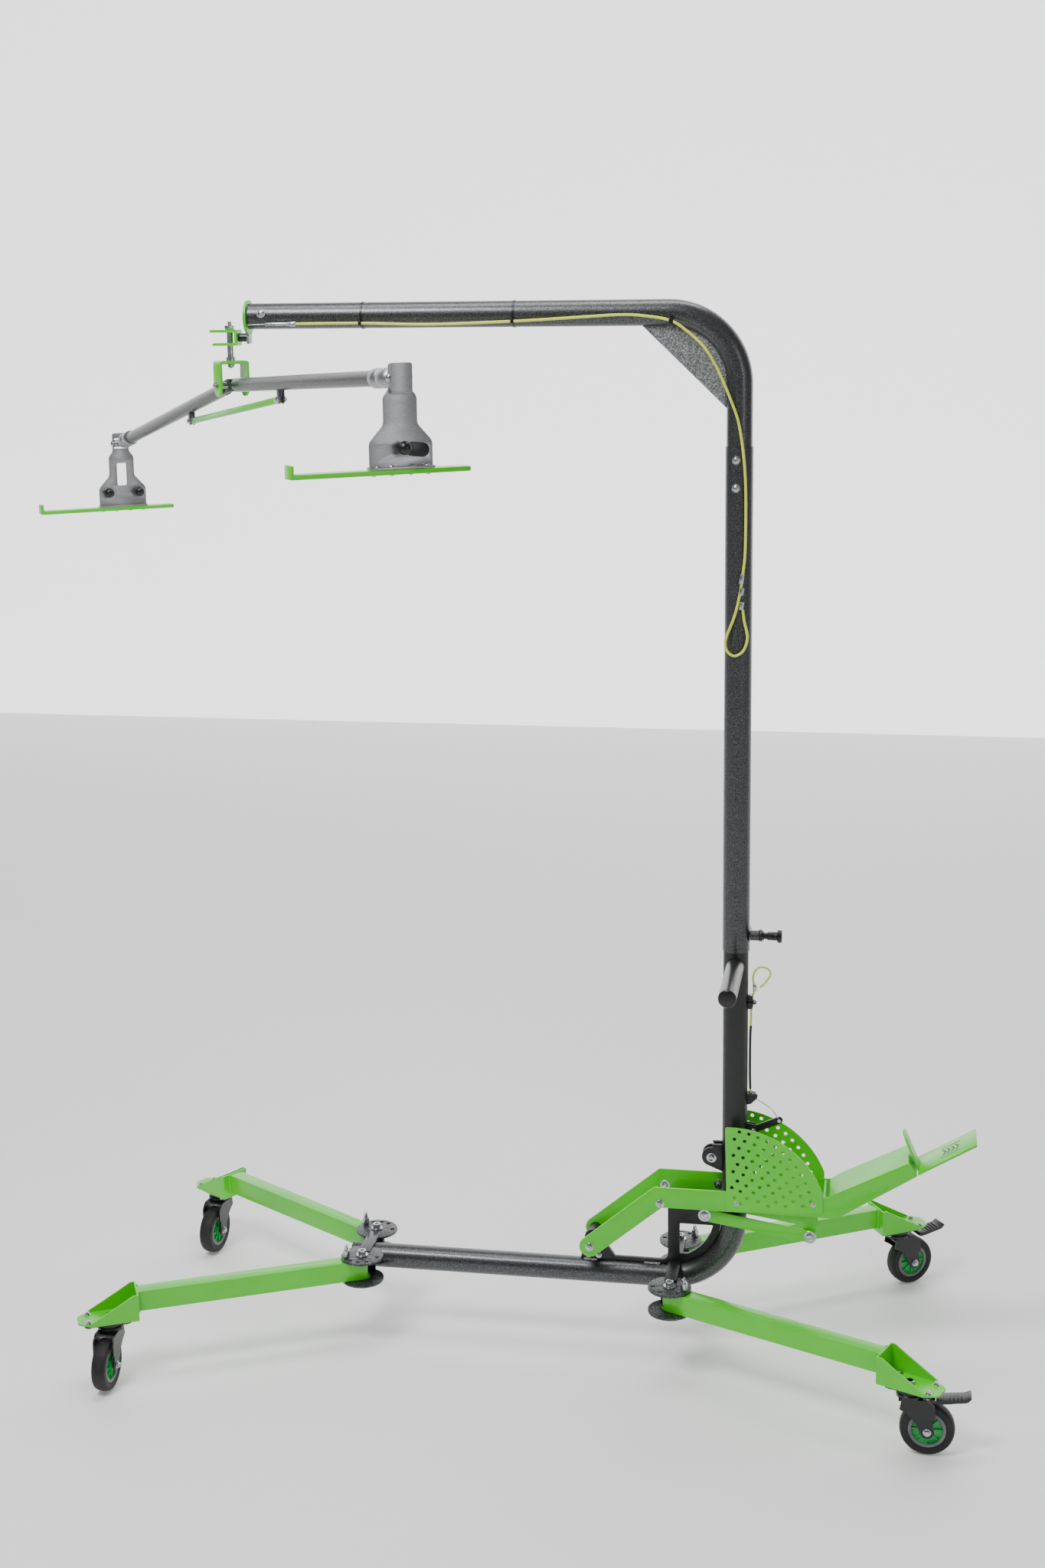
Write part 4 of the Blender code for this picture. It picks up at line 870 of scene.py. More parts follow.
def make_legs():
    caps = [(0.470, 0.022), (0.470, -0.022), (0.543, 0.019), (0.543, -0.019)]
    for leg, (x, y, rest, _) in LEGS.items():
        stand = Matrix.Translation((x, y, 0)) @ Matrix.Rotation(math.radians(rest), 4, "Z")
        body = "leg_" + leg
        done(moved(together(leg_shape(), bracket_shape()), stand), "leg_arm_" + leg, GREEN, body, body)
        half = LEG_W / 2
        rim = [(LEG_LENGTH - 0.001, -half - 0.0008, LEG_Z - LEG_H / 2),
               (LEG_LENGTH - 0.001, -half - 0.0008, LEG_Z + LEG_H / 2),
               (LEG_LENGTH - 0.001, half + 0.0008, LEG_Z + LEG_H / 2),
               (LEG_LENGTH - 0.001, half + 0.0008, LEG_Z - LEG_H / 2)]
        beads = [weld(rim[0], rim[1], GREEN), weld(rim[2], rim[3], GREEN)]
        done(moved(together(*beads), stand), "leg_welds_" + leg, GREEN, body)
        floor_z = BRACKET_Z + BRACKET_T
        spots = [((u, v, floor_z), (0, 0, 1)) for u, v in caps]
        under = [((u, v, BRACKET_Z - 0.0037), (0, 0, -1)) for u, v in caps]
        hardware = together(copies(HEX, spots, 0.62), copies(HEX, under, 0.5))
        done(moved(hardware, stand), "caster_bolts_" + leg, ZINC, body)
        top = plate(rounded([(0.462, -0.030), (0.551, -0.027), (0.551, 0.027), (0.462, 0.030)], 0.006), 0.003,
                    Matrix.Translation((0, 0, BRACKET_Z - 0.0019)), [circle((SWIVEL_REACH, 0), 0.0075)])
        done(moved(eased(top, 0.0007), stand), "caster_top_plate_" + leg, BLACK, body)


def make_casters():
    for leg, (x, y, rest, _) in LEGS.items():
        swivel = Vector((*polar((x, y), SWIVEL_REACH, rest), 0))
        turn = Matrix.Rotation(math.radians(CASTER_HEADINGS[leg]), 4, "Z")
        stand = Matrix.Translation(swivel) @ turn
        wheel = stand @ Matrix.Translation((TRAIL, 0, WHEEL_R))
        body = "caster_" + leg
        done(moved(fork_shape(), stand), "caster_yoke_" + leg, GLOSS_BLACK, body, "caster_fork_" + leg)
        cheek_y = TYRE_W / 2 + 0.007
        spots = both_sides(TRAIL, cheek_y + GAP, WHEEL_R)
        axle = cross_rod(TRAIL, cheek_y, WHEEL_R, 0.0045)
        stem = rod((0, 0, FORK_TOP_Z - 0.002), (0, 0, BRACKET_Z + 0.0085), 0.0055)
        nut = eased(rod((0, 0, BRACKET_Z + BRACKET_T + GAP), (0, 0, BRACKET_Z + 0.0085), 0.0095, 6), 0.0006)
        done(moved(together(copies(HEX, spots, 0.72), axle, stem, nut), stand), "caster_axle_" + leg,
             ZINC, body)
        ride = "wheel_" + leg
        centre, rim = hub_parts()
        done(moved(tyre_shape(), wheel), "caster_tyre_" + leg, RUBBER, ride, "tyre_" + leg)
        done(moved(centre, wheel), "wheel_centre_" + leg, HUB_GREEN, ride, "wheel_hub_" + leg)
        done(moved(rim, wheel), "wheel_rim_" + leg, RIM_GREY, ride)
        if leg.startswith("rear"):
            make_brake(leg, stand)


def make_brake(leg, stand):
    outline = [(0.0465, CROWN_Z - 0.003), (0.060, CROWN_Z - 0.003), (0.103, CROWN_Z + 0.004),
               (0.110, CROWN_Z + 0.012),
               (0.107, CROWN_Z + 0.014), (0.098, CROWN_Z + 0.009), (0.060, CROWN_Z + 0.0045),
               (0.0465, CROWN_Z + 0.004)]
    pedal = eased(plate(rounded(outline, 0.003), 0.030, SIDE), 0.001)
    ribs = [eased(block((u, -0.012, CROWN_Z + 0.003 + (u - 0.060) * 0.13),
                        (u + 0.002, 0.012, CROWN_Z + 0.0062 + (u - 0.060) * 0.13)), 0.0004)
            for u in (0.070, 0.077, 0.084, 0.091)]
    done(moved(together(pedal, *ribs), stand), "brake_tread_" + leg, GLOSS_BLACK, "brake_" + leg,
         "brake_pedal_" + leg)


# --- foot lever -------------------------------------------------------------------------
def make_lever():
    half = LEVER_H / 2
    px, pz = LEVER_PIVOT
    bx, bz = LEVER_BEND
    slope = math.atan2(bz - pz, bx - px)
    shift = half * math.tan(slope / 2)
    low_end, high_end = (0.350, 0.419), (0.333, 0.444)
    crest, notch = (0.204, 0.377), (0.185, bz + half)
    outline = arc(LEVER_PIVOT, half, math.degrees(slope) + 90, math.degrees(slope) + 270, 20)
    outline += [(bx + shift, bz - half), (0.200, bz - half), low_end, high_end, crest, notch,
                (bx - shift, bz + half)]
    arms = [plate(outline, PLATE_T, side_place(side * LEVER_Y)) for side in (-1, 1)]
    inside = LEVER_Y - PLATE_T / 2 + 0.0005
    top = [notch, crest, high_end, (high_end[0] - 0.001, high_end[1] - 0.003),
           (crest[0] + 0.001, crest[1] - 0.003), (notch[0] + 0.002, notch[1] - 0.003)]
    end = [high_end, low_end, (low_end[0] - 0.004, low_end[1] - 0.0035),
           (high_end[0] - 0.004, high_end[1] - 0.004)]
    rear = [(0.173, bz - half + 0.002), (0.177, bz - half + 0.002), (0.177, bz + half - 0.002),
            (0.173, bz + half - 0.002)]
    front = [(-0.190, 0.295), (-0.187, 0.292), (-0.152, 0.330), (-0.155, 0.333)]
    panels = [plate(shape, 2 * inside, SIDE) for shape in (top, end, rear, front)]
    done(eased(built(arms[0], [arms[1], *panels]), 0.0012), "lever_arms", GREEN, "foot_lever", "lever_frame")
    bushes = []
    for side in (-1, 1):
        turn = Matrix.Translation((px, side * 0.024, pz)) @ SIDE
        bushes.append(turned([(0.0065, 0.0185), (0.0108, 0.0185), (0.0120, 0.0173), (0.0120, -0.0173),
                              (0.0108, -0.0185), (0.0065, -0.0185)], turn, 48))
    done(together(*bushes), "lever_pivot_bushes", BLACK, "foot_lever")
    outer = LEVER_Y + PLATE_T / 2
    spots = both_sides(px, outer, pz) + both_sides(-0.141, outer, 0.331)
    inner = []
    for u, v in ((-0.141, 0.331), (-0.034, 0.340)):
        inner += [((u, -outer + PLATE_T, v), (0, 1, 0)), ((u, outer - PLATE_T, v), (0, -1, 0))]
    shaft = cross_rod(px, outer, pz, 0.006)
    cross = cross_rod(STRUT_PIVOT[0], inside, STRUT_PIVOT[1], 0.005)
    done(together(copies(HEX, spots, 0.85), copies(LOW, inner, 0.8), shaft, cross), "lever_bolts", ZINC,
         "foot_lever")
    make_guards()
    make_pedal()


def guard_holes():
    """Rows of holes on arcs round the guard's lower front corner."""
    corner = (-0.012, 0.326)
    spots = []
    for row in range(1, 11):
        radius = 0.0165 * row
        count = max(2, round(radius * 1.42 / 0.0185))
        for step in range(count):
            spots.append(polar(corner, radius, 4.0 + 84.0 * (step + 0.5 * (row % 2)) / count))
    return spots


def inside_guard(spot, margin=0.009):
    x, z = spot
    if not (-0.013 + margin < x < 0.172 - margin and z > 0.331 + margin):
        return False
    chord = bulge((0.1725, 0.375), (0.007, 0.497), 0.190, 16)
    middle = Vector(chord[8])
    return (Vector(spot) - Vector((-0.012, 0.326))).length < (middle - Vector((-0.012,
                                                                               0.326))).length - margin


def make_guards():
    outline = [(-0.011, 0.324), (0.173, 0.332), (0.1725, 0.375),
               *bulge((0.1725, 0.375), (0.007, 0.497), 0.190, 24)[1:],
               *arc((-0.010, 0.492), 0.005, 90, 180, 6)]
    guard_y = LEVER_Y + PLATE_T / 2 + GAP + GUARD_T / 2
    spots = [spot for spot in guard_holes() if inside_guard(spot)]
    rivets = []
    for name, side in (("guard_near", -1), ("guard_far", 1)):
        punch = rod((0, 0, -0.003), (0, 0, 0.003), 0.0036, 16)
        punches = copies(punch, [((x, side * guard_y, z), (0, 1, 0)) for x, z in spots], 1.0, GREEN)
        bpy.data.objects.remove(punch, do_unlink=True)
        sheet = built(plate(outline, GUARD_T, side_place(side * guard_y)), cut=[punches])
        done(sheet, name + "_mesh", GREEN, "foot_lever", name)
        rivets += [((x, side * (guard_y + GUARD_T / 2), z), (0, side, 0)) for x,
                   z in ((0.0075, 0.342), (0.155, 0.349))]
    done(copies(DOME, rivets, 0.5), "guard_rivets", ZINC, "foot_lever")


def make_pedal():
    fin_top = (0.3225, 0.492)
    tread = eased(plate(strip(PEDAL_ROOT, PEDAL_TOE, 0.002, 6), 0.080, SIDE), 0.0005)
    lean = math.atan2(PEDAL_ROOT[0] - fin_top[0], fin_top[1] - PEDAL_ROOT[1])
    length = math.hypot(PEDAL_ROOT[0] - fin_top[0], fin_top[1] - PEDAL_ROOT[1])
    tongue = [(-0.024, 0.0), (0.024, 0.0), *arc((0, length - 0.022), 0.022, 0, 180, 20)]
    stand = (Matrix.Translation((PEDAL_ROOT[0], 0, PEDAL_ROOT[1])) @ Matrix.Rotation(-lean, 4, "Y") @ FACE)
    fin = eased(plate(tongue, 0.004, stand), 0.0008)
    done(together(tread, fin), "pedal_sheet", GREEN, "foot_lever", "pedal_plate")
    along = Vector((PEDAL_TOE[0] - PEDAL_ROOT[0], 0, PEDAL_TOE[1] - PEDAL_ROOT[1])).normalized()
    normal = Vector((-along.z, 0, along.x))
    place = Matrix((along, Vector((0, 1, 0)), normal)).transposed().to_4x4()
    place.translation = Vector((PEDAL_ROOT[0], 0, PEDAL_ROOT[1])) + normal * 0.0021
    marks = []
    for step in range(4):
        u = 0.052 + 0.009 * step
        chevron = [(u, -0.012), (u + 0.006, 0.0), (u, 0.012), (u + 0.0035, 0.012), (u + 0.0095, 0.0),
                   (u + 0.0035, -0.012)]
        marks.append(plate(chevron, 0.0003, place))
    for v in (-0.020, 0.020):
        marks.append(plate(strip((0.050, v), (0.090, v), 0.0010, 6), 0.0003, place))
    done(together(*marks), "pedal_grip_marks", PRINT, "foot_lever")


def make_link():
    sides = pair(strip(LINK_PIVOT, LINK_END, 0.012), 0.003, LINK_Y, 0.0008)
    done(together(*sides), "link_plates", GREEN, "lower_link", "lever_link")
    outer = LINK_Y + 0.0015
    spots, shafts = [], []
    for x, z in (LINK_PIVOT, LINK_END):
        spots += both_sides(x, outer, z)
        shafts.append(cross_rod(x, outer, z, 0.006))
    done(together(copies(LOW, spots, 1.0), *shafts), "link_bolts", ZINC, "lower_link")
    holes = [circle(STRUT_PIVOT, 0.0054), circle(LINK_END, 0.009)]
    outline = strip(LINK_END, STRUT_PIVOT, 0.0125)
    plates = pair(outline, 0.003, 0.029, 0.0008, holes)
    middle = (LINK_END[1] + STRUT_PIVOT[1]) / 2
    spacer = cross_rod(STRUT_PIVOT[0], 0.029, middle, 0.006)
    done(together(*plates, spacer), "strut_plates", GREEN, "strut", "link_strut")
    holes = [circle(RELEASE_PIVOT, 0.0034, 20), circle(RELEASE_END, 0.0025, 20)]
    lever = eased(plate(strip(RELEASE_PIVOT, RELEASE_END, 0.0066), PLATE_T, SIDE, holes), 0.0008)
    done(lever, "release_arm", GLOSS_BLACK, "release", "release_lever")


# --- column and boom --------------------------------------------------------------------
def make_column():
    sleeve = tube([(0, 0, SLEEVE_LOW_Z), (0, 0, SLEEVE_TOP_Z)], SLEEVE_R, 0.0014)
    along = Matrix.Translation((0, 0, PLUNGER_Z)) @ ALONG_X
    boss = turned([(0.0056, 0.025), (0.0125, 0.025), (0.0098, 0.0275), (0.0098, 0.0430),
                   (0.0056, 0.0430)], along, 48)
    done(together(sleeve, boss), "sleeve_coated", SILVER, "column", "sleeve")
    end_x = -BOOM_REACH + FLANGE_T + GAP
    boom = tube(bent((end_x, 0, BOOM_Z), (0, 0, BOOM_Z), (0, 0, BOOM_LEG_Z), BEND_R), TUBE_R, TUBE_WALL)
    done(boom, "boom_tube_coated", SILVER, "column", "boom_tube")
    bend = (-BEND_R, BOOM_Z - BEND_R)
    grip = BEND_R - TUBE_R + 0.0004
    low_z = bend[1] - 0.043
    outline = [(-0.178, bend[1] + grip), *arc(bend, grip, 90, 0, 24), (bend[0] + grip, low_z)]
    done(eased(plate(outline, 0.006, SIDE), 0.0006), "boom_gusset", PALE, "column")
    spots, beads = [], []
    for side in (-1, 1):
        y = side * 0.0042
        beads.append(weld((-0.172, y, bend[1] + grip), (-0.134, y, bend[1] + grip), SILVER))
        beads.append(weld((bend[0] + grip, y, low_z + 0.004), (bend[0] + grip, y, bend[1]), SILVER))
    done(together(*beads), "boom_gusset_welds", SILVER, "column")
    for z in (1.773, 1.722):
        spots.append(((-0.004, -SLEEVE_R + 0.0004, z), (-0.15, -1, 0)))
        spots.append(((0.004, SLEEVE_R - 0.0004, z), (0.15, 1, 0)))
    spots.append(((-0.891, -0.0234, BOOM_Z + 0.005), (0, -1, 0.2)))
    done(copies(DOME, spots, 0.85), "sleeve_bolts", ZINC, "column")
    turn = Matrix.Translation((-BOOM_REACH + FLANGE_T / 2, 0, 0)) @ FACE
    done(eased(plate(circle((0, BOOM_Z - 0.002), 0.032, 72), FLANGE_T, turn), 0.0008), "boom_end_flange",
         GREEN,
         "column", "boom_flange")
    tab = eased(block((-BOOM_REACH, -0.011, 1.988), (-BOOM_REACH + FLANGE_T, 0.011, 2.012)), 0.0008)
    done(tab, "flange_tab", PALE, "column")
    knob = turned([(CORE_R, 0.0870), (0.0112, 0.0870), (0.0124, 0.0858), (0.0124, 0.0800), (0.0112, 0.0785),
                   (0.0084, 0.0780), (0.0080, 0.0720), (0.0086, 0.0715), (0.0086, 0.0700), (0.0080, 0.0695),
                   (0.0080, 0.0600), (0.0062, 0.0590), (0.0062, 0.0535), (0.0086, 0.0530), (0.0086, 0.0505),
                   (CORE_R, 0.0505)], along, 48)
    nut = eased(rod((0.0434, 0, PLUNGER_Z), (0.0500, 0, PLUNGER_Z), 0.0122, 6), 0.0008)
    knob = together(knob, nut)
    done(knob, "plunger_knob", PLASTIC, "plunger", "index_plunger")
    done(rod((TUBE_R + 2 * GAP, 0, PLUNGER_Z), (0.0475, 0, PLUNGER_Z), 0.0049), "plunger_pin", ZINC,
         "plunger")


def make_head():
    x = SPREADER.x
    side = block((-0.947, -0.016, 1.985), (-0.942, 0.016, 2.0145))
    joined = [block((-0.995, -0.016, 2.0095), (-0.942, 0.016, 2.0145)),
              block((-0.990, -0.016, 1.985), (-0.942, 0.016, 1.990))]
    hole = rod((x, 0, 1.980), (x, 0, 2.020), 0.0064)
    done(eased(built(side, joined, [hole]), 0.0009), "head_clevis", GREEN, "column", "head_bracket")
    done(rod((-0.9422, 0, 2.000), (-BOOM_REACH - GAP, 0, 2.000), 0.008), "head_bolt", PLASTIC, "column")
    profile = [(CORE_R, 2.030), (0.0030, 2.030), (0.0036, 2.0292), (0.0036, 2.0225), (0.0060, 2.0220),
               (0.0060, 1.9640),
               (0.0088, 1.9635), (0.0088, 1.9573), (CORE_R, 1.9573)]
    pin = turned(profile, Matrix.Translation((x, 0, 0)), 48)
    nut = eased(rod((x, 0, 2.0149), (x, 0, 2.0225), 0.0098, 6), 0.0008)
    done(together(pin, nut), "swivel_pin_turned", ZINC, "yoke", "swivel_pin")
    stand = Matrix.Translation((x, 0, 0)) @ Matrix.Rotation(math.radians(SPREADER_HEADING), 4, "Z")
    outline = [*arc((0, 1.910), 0.020, 180, 360, 28), (0.020, 1.954), (-0.020, 1.954)]
    ears = [plate(outline, 0.005, side_place(side * 0.0265)) for side in (-1, 1)]
    corner = [(-0.029, 1.951), *arc((-0.023, 1.951), 0.006, 180, 90, 8),
              *arc((0.023, 1.951), 0.006, 90, 0, 8), (0.029, 1.951)]
    top = plate(corner, 0.040, FACE)
    yoke = eased(built(ears[0], [ears[1], top]), 0.0012)
    done(moved(yoke, stand), "yoke_channel", GREEN, "yoke", "spreader_yoke")
    spots = both_sides(0, 0.0292, SPREADER.z)
    spots.append(((0, 0, 1.9508), (0, 0, -1)))
    bolt = cross_rod(0, 0.029, SPREADER.z, 0.006)
    done(moved(together(copies(HEX, spots, 0.8), bolt), stand), "yoke_bolt", ZINC, "yoke")


def make_arms():
    lugs = []
    for side, turn in (("near", 0.0), ("far", 180.0)):
        heading = Matrix.Rotation(math.radians(SPREADER_HEADING + turn), 4, "Z")
        stand = Matrix.Translation(SPREADER) @ heading @ Matrix.Rotation(math.radians(-PITCH[side]), 4, "Y")
        lugs.append(stand @ Vector((LUG_REACH, 0, -LUG_DROP)))
        tip = ARM_LENGTH
        arm = tube([(0.034, 0, 0), (tip - 0.085, 0, 0)], ARM_R, 0.002, 48)
        done(moved(arm, stand), "arm_tube_" + side, SILVER, "spreader", "arm_" + side)
        eye = eased(plate(strip((0, 0), (0.046, 0), 0.0122), 0.007, side_place(0.0045),
                          [circle((0, 0), 0.0064)]), 0.0008)
        done(moved(eye, stand), "arm_eye_" + side, GREY, "spreader")
        along = ALONG_X
        cup = turned([(CORE_R, tip - 0.0265), (0.0070, tip - 0.0268), (0.0118, tip - 0.0295),
                      (0.0150, tip - 0.0350),
                      (0.0164, tip - 0.0430), (0.0164, tip - 0.0560), (0.0150, tip - 0.0640),
                      (0.0136, tip - 0.0680),
                      (0.0150, tip - 0.0700), (0.0163, tip - 0.0730), (0.0163, tip - 0.0930),
                      (0.0150, tip - 0.0958),
                      (0.0132, tip - 0.0958), (0.0132, tip - 0.0840), (CORE_R, tip - 0.0840)], along, 64)
        neck = eased(block((tip - 0.030, -0.009, -0.007), (tip, 0.009, 0.007)), 0.0015)
        barrel = built(cross_rod(tip, 0.014, 0, 0.008), cut=[cross_rod(tip, 0.02, 0, 0.0044)])
        done(moved(together(cup, neck, eased(barrel, 0.0008)), stand), "arm_knuckle_" + side, ALUMINIUM,
             "spreader")
        lug = strip((LUG_REACH, -LUG_DROP), (LUG_REACH, -ARM_R + 0.002), 0.0078)
        cheeks = pair(lug, 0.0032, 0.0034, 0.0006)
        done(moved(together(*cheeks), stand), "link_lug_" + side, GREY, "spreader")
        spots = both_sides(LUG_REACH, 0.005, -LUG_DROP)
        done(moved(copies(HEX, spots, 0.62), stand), "link_lug_bolt_" + side, ZINC, "spreader")
        make_hanger(side, heading, stand @ Vector((tip, 0, 0)))
    away = (lugs[1] - lugs[0]).normalized()
    done(eased(rod(lugs[0] + away * 0.022, lugs[1] - away * 0.022, 0.0062, 40), 0.0008), "spreader_link",
         GREEN,
         "spreader", "link_rod")
    ends = []
    for spot, way in ((lugs[0], away), (lugs[1], -away)):
        ends += [rod(spot + way * 0.0085, spot + way * 0.024, 0.0042),
                 eased(rod(spot + way * 0.014, spot + way * 0.022, 0.0070, 6), 0.0005)]
    done(together(*ends), "spreader_link_ends", ZINC, "spreader")


def make_hanger(side, heading, tip):
    stand = Matrix.Translation(tip) @ heading
    body = "hanger_" + side
    wide, low = HANGER_W / 2, -HANGER_DROP
    half = [(wide, low), (wide, low + 0.042), (0.028, low + 0.069), (0.028, -0.029), (0.018, -0.018),
            (0.018, 0.023)]
    outline = rounded(half + [(-u, v) for u, v in reversed(half)], 0.006, 6)
    window = rounded([(-0.0146, -0.0115), (0.0146, -0.0115), (0.0146, 0.0115), (-0.0146, 0.0115)], 0.002)
    knobs = [(0.0, -0.108)] if side == "near" else [(-0.035, -0.108), (0.035, -0.108)]
    holes = [window, *[circle(knob, 0.0044) for knob in knobs]]
    if side == "near":
        holes.append(strip((0.021, -0.111), (0.035, -0.113), 0.0095))
    else:
        holes.append(rounded([(-0.011, -0.094), (0.011, -0.094), (0.011, -0.044), (-0.011, -0.044)], 0.004))
    sheet = eased(plate(outline, HANGER_T, FACE, holes), 0.0008)
    foot = eased(block((-0.013, -wide, low), (0.013, wide, low + 0.004)), 0.0008)
    if side == "near":
        face = rounded([(-0.018, -0.024), (0.018, -0.024), (0.018, 0.023), (-0.018, 0.023)], 0.004)
        cover = plate(face, 0.0016, Matrix.Translation((0.0096, 0, 0)) @ FACE)
        rim = plate(face, 0.0070, Matrix.Translation((0.0060, 0, 0)) @ FACE,
                    [rounded([(-0.0158, -0.0218), (0.0158, -0.0218), (0.0158, 0.0208), (-0.0158, 0.0208)],
                             0.003)])
        sheet = together(sheet, eased(cover, 0.0005), rim)
    done(moved(together(sheet, foot), stand), "hanger_plate_" + side, ALUMINIUM, body, body)
    spots = both_sides(0.0, 0.0178, 0.0)
    outward = 1 if side == "near" else -1
    cross = cross_rod(0, 0.0175, 0, 0.004)
    screws = [((0.006, u, low + 0.004), (0, 0, 1)) for u in (-0.042, -0.018, 0.018, 0.042)]
    under = [((0.0, u, low - GAP - BAR_T), (0, 0, -1)) for u in (-0.046, -0.016, 0.016, 0.046)]
    done(moved(together(copies(DOME, spots, 0.8), copies(DOME, screws, 0.5), copies(DOME, under, 0.55),
                        cross), stand),
         "hanger_screws_" + side, ZINC, body)
    reach = BAR_LENGTH / 2
    hook_side = -1 if side == "near" else 1
    top_z = low - GAP
    flat = [(-reach, top_z - BAR_T), (reach, top_z - BAR_T), (reach, top_z), (-reach + 0.006, top_z),
            (-reach + 0.006, top_z + 0.014), (-reach, top_z + 0.014)]
    profile = [(-hook_side * (u - BAR_SHIFT), v) for u, v in flat]
    strap = eased(plate(profile, 0.028, FACE), 0.0016)
    done(moved(strap, stand), "sling_bar_bent_" + side, GREEN, body, "sling_bar_" + side)
    if side == "near":
        # Painted shade: a black plastic strip fills the slot cut above, standing for the dark shade seen
        # through the slot rather than a part of the hanger.
        slot_shade_fill = eased(plate(strip((0.019, -0.111), (0.036, -0.113), 0.0112), 0.0066, FACE), 0.0010)
        done(moved(slot_shade_fill, stand), "hanger_slot_insert", PLASTIC, body)
    for u, v in knobs:
        x = outward * (HANGER_T / 2)
        label = side if side == "near" else "far_" + ("right" if u < 0 else "left")
        turn = stand @ Matrix.Translation((x, u, v)) @ Matrix.Rotation(outward * math.radians(90), 4, "Y")
        ball_piece = turned([(CORE_R, 0.0260), (0.0040, 0.0255), (0.0080, 0.0232), (0.0104, 0.0190),
                             (0.0110, 0.0150),
                             (0.0100, 0.0108), (0.0072, 0.0072), (0.0058, 0.0050), (0.0058, 0.0008),
                             (CORE_R, 0.0008)], turn, 48)
        done(ball_piece, "ball_knob_" + label, PLASTIC, "knob_" + label, "knob_" + label)


# --- cables -----------------------------------------------------------------------------
def make_cables():
    y = -TUBE_R - 0.005
    upper = [(-0.880, y, 2.025), (-0.824, y, 2.025), (-0.700, y, 2.025), (-0.569, y, 2.022),
             (-0.414, y, 2.026),
             (-0.278, y, 2.033), (-0.216, y, 2.036), (-0.175, y, 2.034), (-0.124, y, 2.025),
             (-0.090, y, 2.003),
             (-0.061, y, 1.975), (-0.037, y, 1.935), (-0.014, y, 1.882), (0.002, y, 1.833), (0.013, y, 1.741),
             (0.014, y, 1.619), (0.010, y, 1.567), (0.003, y, 1.520), (-0.006, y, 1.484), (-0.021, y, 1.443),
             (-0.018, y, 1.422), (-0.004, y, 1.413), (0.012, y, 1.424), (0.019, y, 1.448),
             (0.013, y, 1.478), (0.010, y, 1.500)]
    route = smooth_path(upper)
    done(bar(route, CABLE_R, 16), "upper_cable_sheath", YELLOW, "column", "upper_release_cable")
    stops = [rod((-0.9165, y + 0.004, 2.0235), (-0.868, y, 2.025), 0.0010, 12),
             eased(rod((-0.882, y, 2.025), (-0.833, y, 2.025), 0.0031, 24), 0.0004),
             eased(rod((-0.834, y, 2.025), (-0.823, y, 2.025), 0.0046, 24), 0.0006)]
    for low, high in ((1.548, 1.566), (1.526, 1.540), (1.500, 1.514)):
        stops.append(eased(rod((0.0065, y, low), (0.0085, y, high), 0.0042, 24), 0.0006))
    done(together(*stops), "upper_cable_ferrules", ZINC, "column")
    ties = []
    for x, z in ((-0.700, 2.025), (-0.414, 2.026)):
        turn = Matrix.Translation((x, 0, BOOM_Z)) @ ALONG_X
        ties.append(turned([(TUBE_R, 0.0018), (TUBE_R + 0.0012, 0.0018), (TUBE_R + 0.0012, -0.0018),
                            (TUBE_R, -0.0018)], turn, 64))
        ties.append(eased(block((x - 0.003, y - 0.0036, z - 0.0040), (x + 0.003, y + 0.003, z + 0.0045)),
                          0.0008))
    ties.append(eased(block((-0.127, y - 0.0036, 2.019), (-0.119, y + 0.004, 2.030)), 0.0010))
    done(together(*ties), "cable_ties", PLASTIC, "column")

    lower = [(0.085, -0.0045, 0.500), (0.072, -0.0045, 0.520), (0.052, -0.003, 0.534),
             (0.036, -0.001, 0.5415), (0.030, 0, 0.552)]
    done(bar(smooth_path(lower), 0.0009, 12), "lower_cable_wire", WIRE, "base", "lower_release_cable")
    run = [(0.030, 0, 0.548), (0.0285, 0, 0.590), (0.0285, 0, 0.660), (0.030, 0, 0.702), (0.030, 0, 0.742)]
    path = smooth_path(run, 8)
    done(bar(path[:4], 0.0020, 16), "lower_cable_tail", YELLOW, "base")
    done(bar(path[3:22], 0.0024, 16), "lower_cable_sleeve", PLASTIC, "base")
    top = [*path[21:], (0.036, 0, 0.760), (0.033, 0, 0.786), (0.043, 0, 0.804), (0.060, 0, 0.803),
           (0.066, 0, 0.792), (0.058, 0, 0.777), (0.046, 0, 0.764)]
    done(bar(smooth_path(top, 4), 0.0020, 16), "lower_cable_sheath", YELLOW, "base")
    stops = [eased(rod((0.030, 0, 0.736), (0.031, 0, 0.748), 0.0036, 24), 0.0005),
             eased(rod((0.037, 0, 0.757), (0.036, 0, 0.770), 0.0038, 24), 0.0005),
             eased(rod((0.030, 0, 0.5445), (0.030, 0, 0.556), 0.0030, 24), 0.0005),
             rod((0.086, -0.0065, 0.498), (0.086, -0.0024, 0.498), 0.0034)]
    done(together(*stops), "lower_cable_ferrules", ZINC, "base")


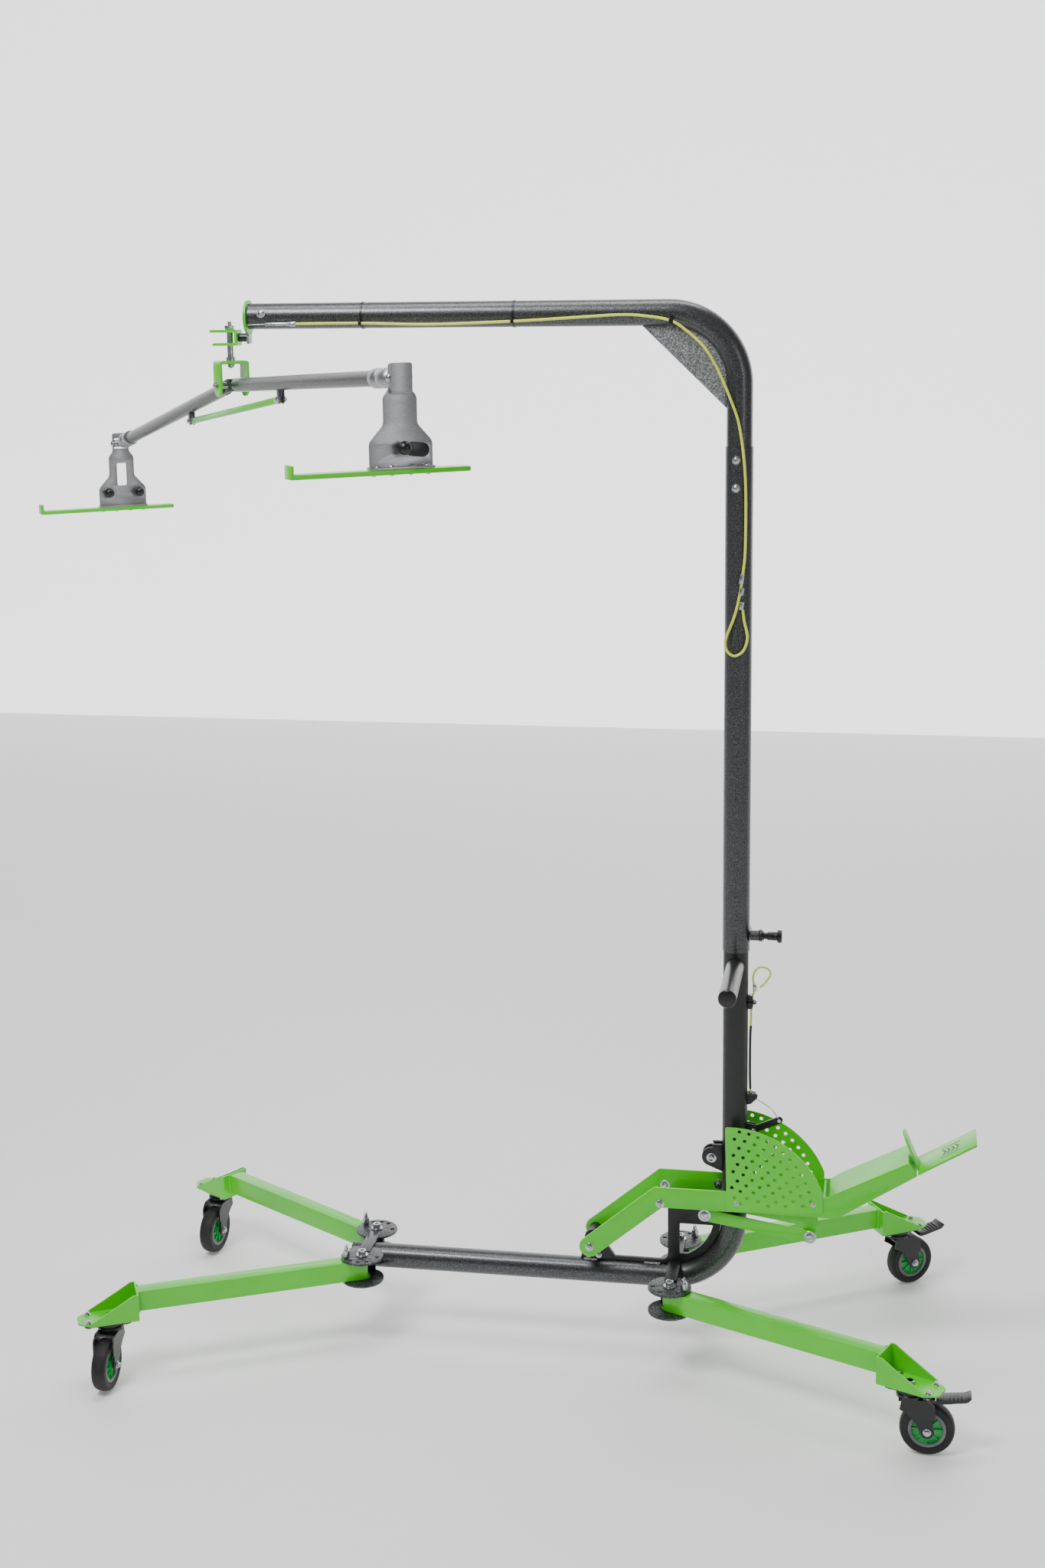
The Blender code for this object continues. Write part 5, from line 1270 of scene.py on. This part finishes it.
# --- stage ------------------------------------------------------------------------------
def make_stage():
    bm = bmesh.new()
    bmesh.ops.create_grid(bm, x_segments=1, y_segments=1, size=14.0)
    floor = from_bmesh(bm)
    floor.name = "floor"
    paint = bpy.data.materials.new("pale_floor")
    paint.use_nodes = True
    shader = paint.node_tree.nodes["Principled BSDF"]
    shader.inputs["Base Color"].default_value = (0.93, 0.93, 0.93, 1.0)
    shader.inputs["Roughness"].default_value = 0.6
    shader.inputs["Emission Color"].default_value = (1.0, 1.0, 1.0, 1.0)
    shader.inputs["Emission Strength"].default_value = 0.12
    floor.data.materials.append(paint)
    floor.location.z = -0.0005
    wall = plate([(-9.0, -0.5), (9.0, -0.5), (9.0, 9.0), (-9.0, 9.0)], 0.05, side_place(6.0))
    wall.name = "backdrop"
    white = paint.copy()
    white.name = "lit_backdrop"
    white.node_tree.nodes["Principled BSDF"].inputs["Emission Strength"].default_value = 1.6
    wall.data.materials.append(white)
    world = bpy.data.worlds.new("studio")
    world.use_nodes = True
    world.node_tree.nodes["Background"].inputs["Color"].default_value = (1.0, 1.0, 1.0, 1.0)
    world.node_tree.nodes["Background"].inputs["Strength"].default_value = 0.24
    bpy.context.scene.world = world
    lamps = {
        "key": ((-1.7, -2.3, 4.3), (1.2, 1.2), 120.0),
        "fill": ((2.8, -3.2, 2.4), (1.2, 2.0), 20.0),
        "top": ((-0.5, 0.3, 4.4), (3.0, 1.0), 70.0),
    }
    for name, (spot, size, power) in lamps.items():
        data = bpy.data.lights.new(name, "AREA")
        data.shape = "RECTANGLE"
        data.size, data.size_y = size
        data.energy = power
        lamp = bpy.data.objects.new(name, data)
        lamp.location = AXIS + Vector(spot)
        aim = AXIS + Vector((-0.3, 0.0, 1.0)) - lamp.location
        lamp.rotation_euler = aim.to_track_quat("-Z", "Y").to_euler()
        bpy.context.scene.collection.objects.link(lamp)


make_base()
make_yoke("front_pivot_yoke", FRONT_X, FRONT_Y, ("front_near", "front_far"), SILVER)
make_yoke("rear_pivot_yoke", REAR_X, REAR_Y, ("rear_near", "rear_far"), BLACK)
make_pivot_hardware()
make_legs()
make_casters()
make_lever()
make_link()
make_column()
make_head()
make_arms()
make_cables()
make_stage()
for template in TEMPLATES:
    bpy.data.objects.remove(template, do_unlink=True)
